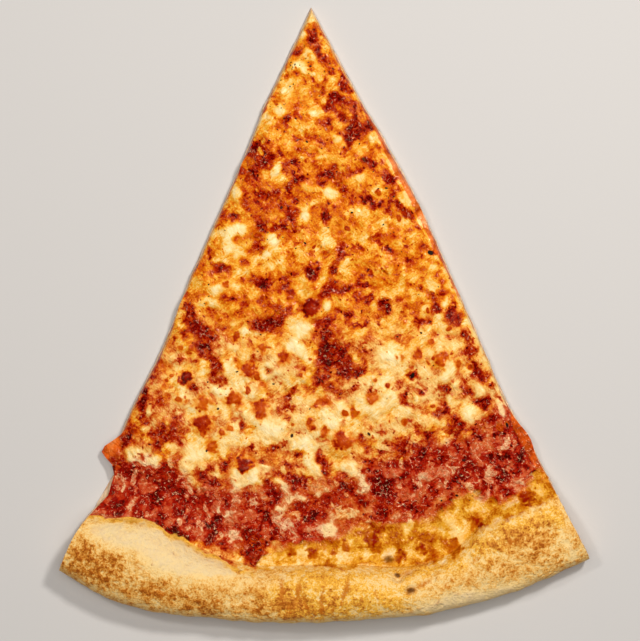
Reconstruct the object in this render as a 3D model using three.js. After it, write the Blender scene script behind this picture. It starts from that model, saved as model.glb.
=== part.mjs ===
import * as THREE from "three";
import { ImprovedNoise } from "three/addons/math/ImprovedNoise.js";

// A large slice of thin cheese pizza, lying flat: a bread crust with a puffed rim, a layer of tomato
// sauce, and a layer of melted cheese that ends unevenly at the rim's foot.
// Millimetres, +Z up. The tip points to +Y and the rim faces -Y.
// A place on the slice is a radius from the tip and a share across it, 0 at the left cut, 1 at the right.

const { degToRad, lerp, smoothstep } = THREE.MathUtils;

// Driving dimensions
const SLICE_LENGTH = 228.6; // tip to the rim's outer side: the radius of an 18 inch pizza
const LEFT_CUT = degToRad(-24.1); // the two knife cuts, off the slice's long axis
const RIGHT_CUT = degToRad(26.8);
const BREAD_THICKNESS = 3.4; // of the flat base
const TIP_BREAD_SHARE = 0.7; // the base is rolled thinner at the pizza's middle
const THIN_TIP_LENGTH = 50;
const FOOT_RISE = 3; // the base climbs this much to the rim's foot
const FOOT_RISE_LENGTH = 16;
const SAUCE_THICKNESS = 0.9;
const CHEESE_THICKNESS = 2.4;
const LEAST_CHEESE = 0.9;
const RIM_TUCK = 4; // the rim's outer side curls under by this much

// Unevenness of each surface
const BREAD_LUMPS = { height: 0.3, size: 22 };
const PULP = { height: 0.3, size: 7 };
const LARGE_LUMPS = { height: 0.9, size: 13 }; // of the cheese
const SMALL_LUMPS = { height: 0.6, size: 5.5 };
const RIM_LUMPS = { height: 0.7, size: 12 };

// The cuts lean: each layer up is drawn in from the cuts a little more
const BREAD_INSET = 0.5;
const SAUCE_INSET = 0.8;
const CHEESE_INSET = 1.3;

// Resolution: rows of cells from the tip outwards, a row holding one cell more than the last
const BASE_ROWS = 30; // tip to the rim's foot
const CHEESE_ROWS = 28; // of those, the rows under the cheese
const RIM_ROWS = 18; // over the rim, from its foot to its heel
const CHEESE_FINENESS = 3; // cells of the cheese's top for each cell beneath it
const UNDERSIDE_COARSENESS = 2; // cells of the crust's top for each cell of its underside

// A value that runs smoothly through [share, value] pairs across the slice
function across(pairs) {
  const shares = pairs.map(([share]) => share);
  const values = pairs.map(([, value]) => value);
  const curve = new THREE.CubicInterpolant(shares, values, 1, new Float32Array(1));
  return (share) => curve.evaluate(share)[0];
}

const rimSwell = across([[0, -1], [0.1, 2.2], [0.27, 0.1], [0.55, -1.8], [0.72, -0.5], [1, -0.5]]);
const rimWidth = across([
  [0, 25], [0.13, 33], [0.21, 27], [0.34, 21.5], [0.5, 21.5], [0.74, 19.5], [0.87, 31], [1, 29],
]);
const rimHeight = across([
  [0, 15], [0.12, 17.5], [0.35, 16], [0.55, 16.6], [0.75, 14.4], [0.92, 14.4], [1, 12.6],
]);
const bareSauce = across([[0, 15], [0.12, 11], [0.25, 9], [0.36, 4.5], [0.5, 3], [0.86, 3.5], [1, 5]]);

const outerRadius = (share) => SLICE_LENGTH + rimSwell(share);
const footRadius = (share) => outerRadius(share) - rimWidth(share);
const cheeseRadius = (share) => footRadius(share) - bareSauce(share);

// Unevenness, by smooth noise of about -1 to 1 with the given size of lump
const noiseField = new ImprovedNoise();
const unevenness = (x, y, lump, layer) => noiseField.noise(x / lump, y / lump, layer + 0.5);

// A hump of height 1 around a middle, falling to nothing at about twice its reach
const hump = (value, middle, reach) => Math.exp(-(((value - middle) / reach) ** 2));

// The cuts stray outwards from straight lines through the tip: [radius, reach along the cut, how far]
const LEFT_BENDS = [[38, 16, 0.8], [136, 16, -1.3], [193, 12, -5]];
const RIGHT_BENDS = [[80, 42, 2.9], [161, 14, -1.3]];
const CUT_ROUGHNESS = 0.4;
const CUT_LUMP = 7;

// The sum of [middle, reach, height] humps at a value
const sumOfHumps = (humps, value) =>
  humps.reduce((sum, [middle, reach, height]) => sum + height * hump(value, middle, reach), 0);

const leftStray = (radius) =>
  sumOfHumps(LEFT_BENDS, radius) + CUT_ROUGHNESS * unevenness(radius, 0, CUT_LUMP, 1);

const rightStray = (radius) =>
  sumOfHumps(RIGHT_BENDS, radius) + CUT_ROUGHNESS * unevenness(radius, 0, CUT_LUMP, 2);

// The point over a place on the slice, with the cuts drawn in by inset
function pointOver(radius, share, inset, height) {
  const apex = inset / Math.sin((RIGHT_CUT - LEFT_CUT) / 2);
  const reach = radius * (1 - apex / SLICE_LENGTH);
  const angle = lerp(LEFT_CUT, RIGHT_CUT, share);
  const stray = lerp(-leftStray(radius), rightStray(radius), share);
  return new THREE.Vector3(
    reach * Math.sin(angle) + stray * Math.cos(angle),
    -apex - reach * Math.cos(angle) + stray * Math.sin(angle),
    height,
  );
}

// The radius of a row of the base: the cheese's edge and the rim's foot each lie on a row
function baseRadius(row, share) {
  const edge = cheeseRadius(share);
  if (row <= CHEESE_ROWS) return (edge * row) / CHEESE_ROWS;
  return lerp(edge, footRadius(share), (row - CHEESE_ROWS) / (BASE_ROWS - CHEESE_ROWS));
}

// Heights of the layers' tops over a place on the slice

function breadHeight(radius, share) {
  const { x, y } = pointOver(radius, share, 0, 0);
  const foot = footRadius(share);
  const rolled = BREAD_THICKNESS * lerp(TIP_BREAD_SHARE, 1, smoothstep(radius, 0, THIN_TIP_LENGTH));
  const rise = FOOT_RISE * smoothstep(radius, foot - FOOT_RISE_LENGTH, foot) ** 2;
  return rolled + rise + BREAD_LUMPS.height * unevenness(x, y, BREAD_LUMPS.size, 3);
}

function sauceHeight(radius, share) {
  const { x, y } = pointOver(radius, share, 0, 0);
  return breadHeight(radius, share) + SAUCE_THICKNESS + PULP.height * unevenness(x, y, PULP.size, 4);
}

// Blisters: low domes where the cheese bubbled. The largest are placed as [right of the tip, down the
// slice from it, radius] and the rest are scattered by a seeded draw.
const LARGE_BLISTERS = [
  [0, 111.4, 4], [-7.4, 106.6, 2.4], [-28.1, 144.4, 3], [-18, 148.5, 3.3], [-39.5, 151, 3],
  [-22.8, 134.5, 3.3], [48.1, 130.1, 3], [39.7, 128.3, 2.4], [-24.4, 167.9, 3.3], [11.8, 159.9, 3.7],
  [79.6, 180.7, 3], [61.7, 190.5, 2.6], [51.8, 199.6, 3.3], [22.4, 197, 3.3],
];
const SMALL_BLISTER_COUNT = 90;
const SMALL_BLISTER_RADIUS = [1.6, 3.2];
const BLISTER_STEEPNESS = 0.28; // a blister's height for its radius

function seededDraw(seed) {
  let state = seed;
  return () => {
    state = (state * 48271) % 2147483647;
    return state / 2147483647;
  };
}

function smallBlisters() {
  const draw = seededDraw(2024);
  return Array.from({ length: SMALL_BLISTER_COUNT }, () => {
    const share = draw();
    const radius = cheeseRadius(share) * Math.sqrt(draw());
    const { x, y } = pointOver(radius, share, 0, 0);
    return [x, -y, lerp(...SMALL_BLISTER_RADIUS, draw())];
  });
}

const blisters = [...LARGE_BLISTERS, ...smallBlisters()];

function blisterRise(x, y) {
  const rises = blisters.map(([right, down, radius]) => {
    const away = Math.hypot(x - right, y + down) / radius;
    return BLISTER_STEEPNESS * radius * (1 - away ** 2);
  });
  return Math.max(0, ...rises);
}

// The cheese rounds off towards a cut and thins out towards its outer edge: the distance over which
// it does so, and the share of its thickness that is left at the end
const CUT_ROUNDING = { length: 4, left: 0.45 };
const EDGE_ROUNDING = { length: 7, left: 0.3 };

const rounding = ({ length, left }, distance) => lerp(left, 1, smoothstep(distance, 0, length));

function cheeseRounding(radius, share) {
  const toCut = radius * (RIGHT_CUT - LEFT_CUT) * Math.min(share, 1 - share);
  const toEdge = cheeseRadius(share) - radius;
  return rounding(CUT_ROUNDING, toCut) * rounding(EDGE_ROUNDING, toEdge);
}

// The cheese lies thin over a band of sauce before the rim: [radius, reach, height]
const THIN_BAND = [190, 14, -0.9];

function cheeseHeight(radius, share) {
  const { x, y } = pointOver(radius, share, 0, 0);
  const large = LARGE_LUMPS.height * unevenness(x, y, LARGE_LUMPS.size, 5);
  const small = SMALL_LUMPS.height * unevenness(x, y, SMALL_LUMPS.size, 6);
  const melted = CHEESE_THICKNESS + sumOfHumps([THIN_BAND], radius);
  const full = (melted + large + small + blisterRise(x, y)) * cheeseRounding(radius, share);
  return sauceHeight(radius, share) + Math.max(full, LEAST_CHEESE);
}

// Melted lips that hang out over the cuts: [radius, reach along the cut, overhang]
const LEFT_LIPS = [[178, 4.5, 6.5], [118, 5, 1], [62, 4, 0.8]];
const RIGHT_LIPS = [[176, 9, 2.2], [196, 6, 1.4], [84, 6, 1]];
const LIP_WIDTH = 0.04; // as a share of the way across the slice
const LIP_SAG = 0.35; // the drop of a lip's edge for its overhang

function lipOverhang(radius, share) {
  const nearLeft = smoothstep(-share, -LIP_WIDTH, 0);
  const nearRight = smoothstep(share, 1 - LIP_WIDTH, 1);
  return nearRight * sumOfHumps(RIGHT_LIPS, radius) - nearLeft * sumOfHumps(LEFT_LIPS, radius);
}

// The rim's section from its foot over the crest to its heel, as Bezier curves: each one's two handles
// and its end, given as [share of the rim's width, share of its height]
const RIM_SECTION = [
  [[0.1, 0.78], [0.24, 1], [0.5, 1]],
  [[0.78, 1], [1, 0.85], [1, 0.45]],
  [[1, 0.22], [0.985, 0.12], [0.94, 0.08]],
];

function rimProfile(share) {
  const foot = footRadius(share);
  const width = outerRadius(share) - foot;
  const height = rimHeight(share);
  const profile = new THREE.CurvePath();
  let start = new THREE.Vector2(foot, breadHeight(foot, share));
  for (const points of RIM_SECTION) {
    const ends = points.map(([out, up]) => new THREE.Vector2(foot + out * width, up * height));
    profile.curves.push(new THREE.CubicBezierCurve(start, ...ends));
    start = ends.at(-1);
  }
  return profile;
}

// Surfaces, each a wedge of rows of points, with row 0 the single point at the tip

function wedgeSurface(rows, pointAt) {
  const points = [];
  for (let row = 0; row <= rows; row += 1) {
    for (let column = 0; column <= row; column += 1) {
      points.push(pointAt(row, row === 0 ? 0.5 : column / row));
    }
  }
  return { rows, points };
}

const layerTop = (rows, fineness, inset, heightOver, overhang = () => 0) =>
  wedgeSurface(rows * fineness, (row, share) => {
    const radius = baseRadius(row / fineness, share);
    const point = pointOver(radius, share, inset, heightOver(radius, share));
    const out = overhang(radius, share);
    point.x += out;
    point.z -= LIP_SAG * Math.abs(out);
    return point;
  });

function crustTop() {
  return wedgeSurface(BASE_ROWS + RIM_ROWS, (row, share) => {
    if (row <= BASE_ROWS) {
      const radius = baseRadius(row, share);
      return pointOver(radius, share, BREAD_INSET, breadHeight(radius, share));
    }
    const along = (row - BASE_ROWS) / RIM_ROWS;
    const { x: radius, y: height } = rimProfile(share).getPoint(along);
    const point = pointOver(radius, share, BREAD_INSET, height);
    const lump = RIM_LUMPS.height * unevenness(point.x, point.y, RIM_LUMPS.size, 7);
    point.z += lump * Math.sin(Math.PI * along);
    return point;
  });
}

function crustUnderside() {
  const rows = (BASE_ROWS + RIM_ROWS) / UNDERSIDE_COARSENESS;
  return wedgeSurface(rows, (coarseRow, share) => {
    const row = coarseRow * UNDERSIDE_COARSENESS;
    const underRim = Math.max(row - BASE_ROWS, 0) / RIM_ROWS;
    const base = baseRadius(Math.min(row, BASE_ROWS), share);
    return pointOver(lerp(base, outerRadius(share) - RIM_TUCK, underRim), share, 0, 0);
  });
}

// Solids: a top and a bottom wedge of points, joined by walls around their outlines

const place = (row, column) => (row * (row + 1)) / 2 + column;

function wedgeFaces({ rows }) {
  const faces = [];
  for (let row = 0; row < rows; row += 1) {
    for (let column = 0; column <= row; column += 1) {
      const here = place(row, column);
      const below = place(row + 1, column);
      faces.push([here, below, below + 1]);
      if (column < row) faces.push([here, below + 1, here + 1]);
    }
  }
  return faces;
}

// The outline of a wedge, down the left cut, along the rim and up the right cut
function outline({ rows }) {
  const steps = [...Array(rows).keys()];
  return [
    ...steps.map((step) => place(step, 0)),
    ...steps.map((step) => place(rows, step)),
    ...steps.map((step) => place(rows - step, rows - step)),
  ];
}

// Walls from a top outline down to a bottom one with a whole number of times fewer points
function wallFaces(top, bottom, bottomStart) {
  const upper = outline(top);
  const lower = outline(bottom).map((index) => index + bottomStart);
  const finer = top.rows / bottom.rows;
  const half = Math.floor(finer / 2);
  const faces = [];
  lower.forEach((from, edge) => {
    const to = lower[(edge + 1) % lower.length];
    const above = (step) => upper[(edge * finer + step) % upper.length];
    for (let step = 0; step < finer; step += 1) {
      faces.push([above(step), step < half ? from : to, above(step + 1)]);
    }
    faces.push([above(half), from, to]);
  });
  return faces;
}

function solidBetween(top, bottom) {
  const bottomStart = top.points.length;
  const turned = wedgeFaces(bottom).map(([a, b, c]) => [a, c, b].map((index) => index + bottomStart));
  const faces = [...wedgeFaces(top), ...turned, ...wallFaces(top, bottom, bottomStart)];
  const geometry = new THREE.BufferGeometry().setFromPoints([...top.points, ...bottom.points]);
  geometry.setIndex(faces.flat());
  geometry.computeVertexNormals();
  return geometry;
}

function piece(name, top, bottom, color, roughness) {
  const material = new THREE.MeshStandardMaterial({ color, roughness, metalness: 0 });
  const mesh = new THREE.Mesh(solidBetween(top, bottom), material);
  mesh.name = name;
  return mesh;
}

function crust() {
  return piece("crust", crustTop(), crustUnderside(), 0xdcb878, 0.8);
}

function sauce() {
  const bottom = layerTop(BASE_ROWS, 1, BREAD_INSET, breadHeight);
  const top = layerTop(BASE_ROWS, 1, SAUCE_INSET, sauceHeight);
  return piece("sauce", top, bottom, 0xa01c0e, 0.3);
}

function cheese() {
  const bottom = layerTop(CHEESE_ROWS, 1, SAUCE_INSET, sauceHeight);
  const top = layerTop(CHEESE_ROWS, CHEESE_FINENESS, CHEESE_INSET, cheeseHeight, lipOverhang);
  return piece("cheese", top, bottom, 0xe8b04c, 0.4);
}

// The origin is under the middle of the slice's box, on the surface that it lies on
function restOnOrigin(group) {
  const box = new THREE.Box3().setFromObject(group);
  const middle = box.getCenter(new THREE.Vector3());
  group.position.set(-middle.x, -middle.y, -box.min.z);
  return group;
}

const slice = new THREE.Group();
slice.add(crust(), sauce(), cheese());

export default restOnOrigin(slice);
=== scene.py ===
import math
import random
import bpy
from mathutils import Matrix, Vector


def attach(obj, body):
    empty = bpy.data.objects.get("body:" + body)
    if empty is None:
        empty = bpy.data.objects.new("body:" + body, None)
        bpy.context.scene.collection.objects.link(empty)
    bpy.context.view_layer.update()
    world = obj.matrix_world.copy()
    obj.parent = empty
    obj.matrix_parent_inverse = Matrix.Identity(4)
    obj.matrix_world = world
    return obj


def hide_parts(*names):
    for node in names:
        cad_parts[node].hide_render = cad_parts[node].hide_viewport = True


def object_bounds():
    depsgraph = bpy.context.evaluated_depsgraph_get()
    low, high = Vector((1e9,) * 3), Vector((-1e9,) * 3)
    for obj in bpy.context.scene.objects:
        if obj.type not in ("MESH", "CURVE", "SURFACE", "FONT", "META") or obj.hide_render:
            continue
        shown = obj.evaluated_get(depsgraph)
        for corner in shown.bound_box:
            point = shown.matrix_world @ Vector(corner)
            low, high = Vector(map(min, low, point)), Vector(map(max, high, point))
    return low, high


bl_info = {
    "name": "Cheese pizza slice",
    "version": (1, 0, 0),
    "blender": (4, 5, 0),
    "location": "View3D > Sidebar > Slice",
    "description": "Bakes a slice of cheese pizza: bread, sauce, melted cheese, herbs and a small studio",
    "category": "Mesh",
}

import bpy
import numpy as np
from bpy.props import FloatProperty, FloatVectorProperty, IntProperty, PointerProperty
from mathutils import Quaternion, Vector
from mathutils.bvhtree import BVHTree
from mathutils.kdtree import KDTree

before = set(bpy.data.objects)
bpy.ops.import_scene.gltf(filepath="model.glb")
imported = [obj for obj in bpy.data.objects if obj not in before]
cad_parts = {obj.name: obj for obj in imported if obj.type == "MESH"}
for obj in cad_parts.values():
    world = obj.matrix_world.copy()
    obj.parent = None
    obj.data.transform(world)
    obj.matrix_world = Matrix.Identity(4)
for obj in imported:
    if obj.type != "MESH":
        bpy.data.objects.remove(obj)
CAD_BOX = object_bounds()

MM = 0.001
TIP = max((vertex.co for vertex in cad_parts["crust"].data.vertices), key=lambda place: place.y)
LEFT_CUT = math.radians(24.1)  # the two knife cuts, off the slice's long axis
RIGHT_CUT = math.radians(26.8)

SKIN, CRUMB, UNDERSIDE = 0, 1, 2  # the crust's kinds of face, in the order of its materials
COVERED_LENGTH = 178  # the sauce covers the bread for this far from the tip
CRUST_CUTS, SAUCE_CUTS, CHEESE_CUTS = 6, 7, 4  # how much finer than the solids the pieces are
EDGE_DEPTH, UNDERSIDE_DEPTH = 0.05, 0.15  # how far layers reach into each other, out of sight
SMALL_BLISTERS = 80
SHREDS_IN_A_PLACE, SHREDS_IN_ALL = 9, 360
FACING_UP, FACING_OUT, UPRIGHT, FACING_DOWN = 0.4, 0.75, 0.6, -0.85  # how faces are told apart
NEAR_A_CUT = 5  # faces further from a cut than this are no cut sides
DENT_DEPTH, CREASE_DEPTH, TORN_HEIGHT = 1.6, 0.35, 0.8
SKIN_ANGLE, TOPPING_ANGLE = math.radians(50), math.radians(60)  # sharper edges stay sharp
LIFT_OFF = 2 * MM  # rays that look for what lies below start this far up
CUT_MARGIN = 2.5  # nearer to a knife cut than this, an edge is the cut's and not the rim's
RIM_SIDE = 120  # the layers' edges towards the rim are at least this far from the tip
LUMP_TABLE = 128  # the lumps of an uneven surface repeat after this many
MARK_FADING = 0.85  # how fast a mark fades towards its edge and beyond
PLAIN_TONE, PLAIN_WEIGHT = 0.4, 0.15  # the topping's tone where no zone reaches, and how much it counts
BLISTER_BAND = (60, 158)  # where the small blisters lie
CROWDED, CROWD_SPREAD = 146, 24  # where they are thickest, and how far they spread from there
FLECKS_FROM, FLECKS_REACH = 14, 172  # where the small flecks begin, and how far they lie from there
MILKY = (104, 136)  # the cheese turns from golden to milky between these
SHRED_BAND = (158, 194)  # the bare sauce, where half-melted shreds lie
NOISE_START = (137.3, 59.1, 83.7)  # keeps the middle of the noise, where it is too even, off the slice
FLOOR_SIZE, FLOOR_DROP = 3, 0.2 * MM  # the drop keeps the floor clear of the underside
KEY_PLACE, KEY_SIZE = (0.32, 0.36, 0.68), 0.12
WINDOW_PLACE, WINDOW_SIZE, WINDOW_SHARE = (-0.34, 0.22, 0.7), 0.1, 0.3
GLOW_PLACE, GLOW_SIZE, GLOW_SHARE = (0, 0, 1.6), 1.4, 3.2
CAMERA_PLACE = (-1.66 * MM, -2.4 * MM)
SURFACE_HEIGHT = 7 * MM  # of most of the topping


def dye(red, green, blue):
    """A colour from its display values, 0 to 255, as Blender keeps colours."""
    shares = (value / 255 for value in (red, green, blue))
    return tuple(s / 12.92 if s <= 0.04045 else ((s + 0.055) / 1.055) ** 2.4 for s in shares)


def colour(name, description, value):
    return FloatVectorProperty(
        name=name, description=description, subtype="COLOR", size=3, min=0, max=1, default=value
    )


def depth(name, description, millimetres):
    return FloatProperty(
        name=name, description=description, default=millimetres * MM, min=0, unit="LENGTH",
        subtype="DISTANCE", precision=5,
    )


class BreadSettings(bpy.types.PropertyGroup):
    dusting: colour("Dusting", "Where dry flour still lies on the rim", dye(234, 215, 174))
    flour: colour("Flour", "Floury skin of the rim", dye(245, 212, 146))
    pale: colour("Pale skin", "Skin that has hardly browned", dye(236, 185, 102))
    tan: colour("Tan skin", "Browned skin", dye(208, 134, 46))
    brown: colour("Brown skin", "Skin that has browned the most", dye(156, 78, 12))
    golden: colour("Oiled skin", "Skin that cheese oil has run into", dye(246, 186, 54))
    # The oil colour is also painted round the rim's dents as painted shade.
    oil: colour("Oil line", "Oil that has run along the edge of the topping", dye(188, 110, 22))
    # Browning in the folds, and painted shade in the grooves that lead from the dents.
    crease: colour("Creases", "Narrow folds in the skin, which brown first", dye(194, 108, 22))
    # Painted shade, partly scorch: the dark colour deep in the rim's small dents.
    dent_shade_and_scorch: colour("Hollows", "Deep in the small dents and creases of the rim", dye(74, 32, 8))
    crumb: colour("Crumb", "The open crumb where the slice is cut", dye(255, 220, 184))
    lump_height: depth("Lumps", "Height of the rim's broad lumps", 0.6)
    skin_height: depth("Skin wrinkles", "Height of the small wrinkles in the skin", 0.42)


class ToppingSettings(bpy.types.PropertyGroup):
    curd: colour("Curd", "The whitest cheese", dye(254, 234, 184))
    cream: colour("Cream", "Melted cheese that has not browned", dye(248, 214, 142))
    gold: colour("Gold", "Cheese that oil has soaked", dye(240, 173, 52))
    orange: colour("Orange", "Cheese stained by oil and tomato", dye(222, 118, 10))
    rust: colour("Rust", "Browned cheese over sauce", dye(180, 46, 4))
    tomato: colour("Tomato", "Cooked sauce", dye(136, 5, 1))
    dark: colour("Dark sauce", "Sauce that has dried and darkened", dye(72, 1, 0))
    char: colour("Char", "Burnt specks", dye(90, 3, 0))
    blush: colour("Blush", "Thin cheese that sauce shows through", dye(208, 114, 46))
    rose: colour("Rose", "Milky cheese that much sauce shows through", dye(202, 84, 50))
    ruby: colour("Ruby", "Sauce under a trace of cheese", dye(180, 30, 10))
    peach: colour("Peach", "Milky cheese over sauce", dye(232, 180, 106))
    stain: colour("Stain", "Orange oil that has run out along the cuts", dye(236, 104, 24))
    # Painted highlight: pale glints and threads of light painted into the colour of the sauce and cheese.
    painted_glint: colour("Glints", "Fine threads of cheese and oil that catch the light", dye(255, 206, 160))
    shred: colour("Shreds", "Pale cheese that has half melted into the sauce", dye(246, 206, 162))
    film: colour("Film", "Thin golden cheese on the foot of the rim", dye(232, 168, 46))
    ochre: colour("Ochre", "Where that thin cheese has browned", dye(192, 106, 4))
    toast: colour("Toast", "Lightly browned blisters", dye(214, 96, 2))
    toast_edge: colour("Toast edge", "Blisters where they have browned more", dye(188, 60, 0))
    scorch: colour("Scorch", "Blisters that have browned the most", dye(140, 18, 0))
    lump_height: depth("Lumps", "Height of the lumps all over the cheese", 0.65)
    pool_height: depth("Pools", "How far the cream pools stand up", 0.4)
    patch_depth: depth("Sauce patches", "How far the sauce patches sink", 0.35)
    blister_height: depth("Blisters", "Height of the browned blisters", 0.16)
    herb_count: IntProperty(
        name="Herb flecks", description="How many flecks of dried herb lie on it", default=150, min=0
    )


class StudioSettings(bpy.types.PropertyGroup):
    floor: colour("Floor", "Colour of the floor", dye(204, 204, 206))
    light: colour("Light", "Colour of the lights, which are slightly warm", (1, 0.94, 0.86))
    camera_height: depth("Camera height", "From the floor to the lens", 907)
    view_height: depth("View height", "The height of what the camera sees at the slice", 235.6)
    key_power: FloatProperty(name="Key light", description="Power of the main light", default=4.0, min=0)
    fill: FloatProperty(name="Fill", description="Light from all round", default=0.09, min=0)


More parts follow.
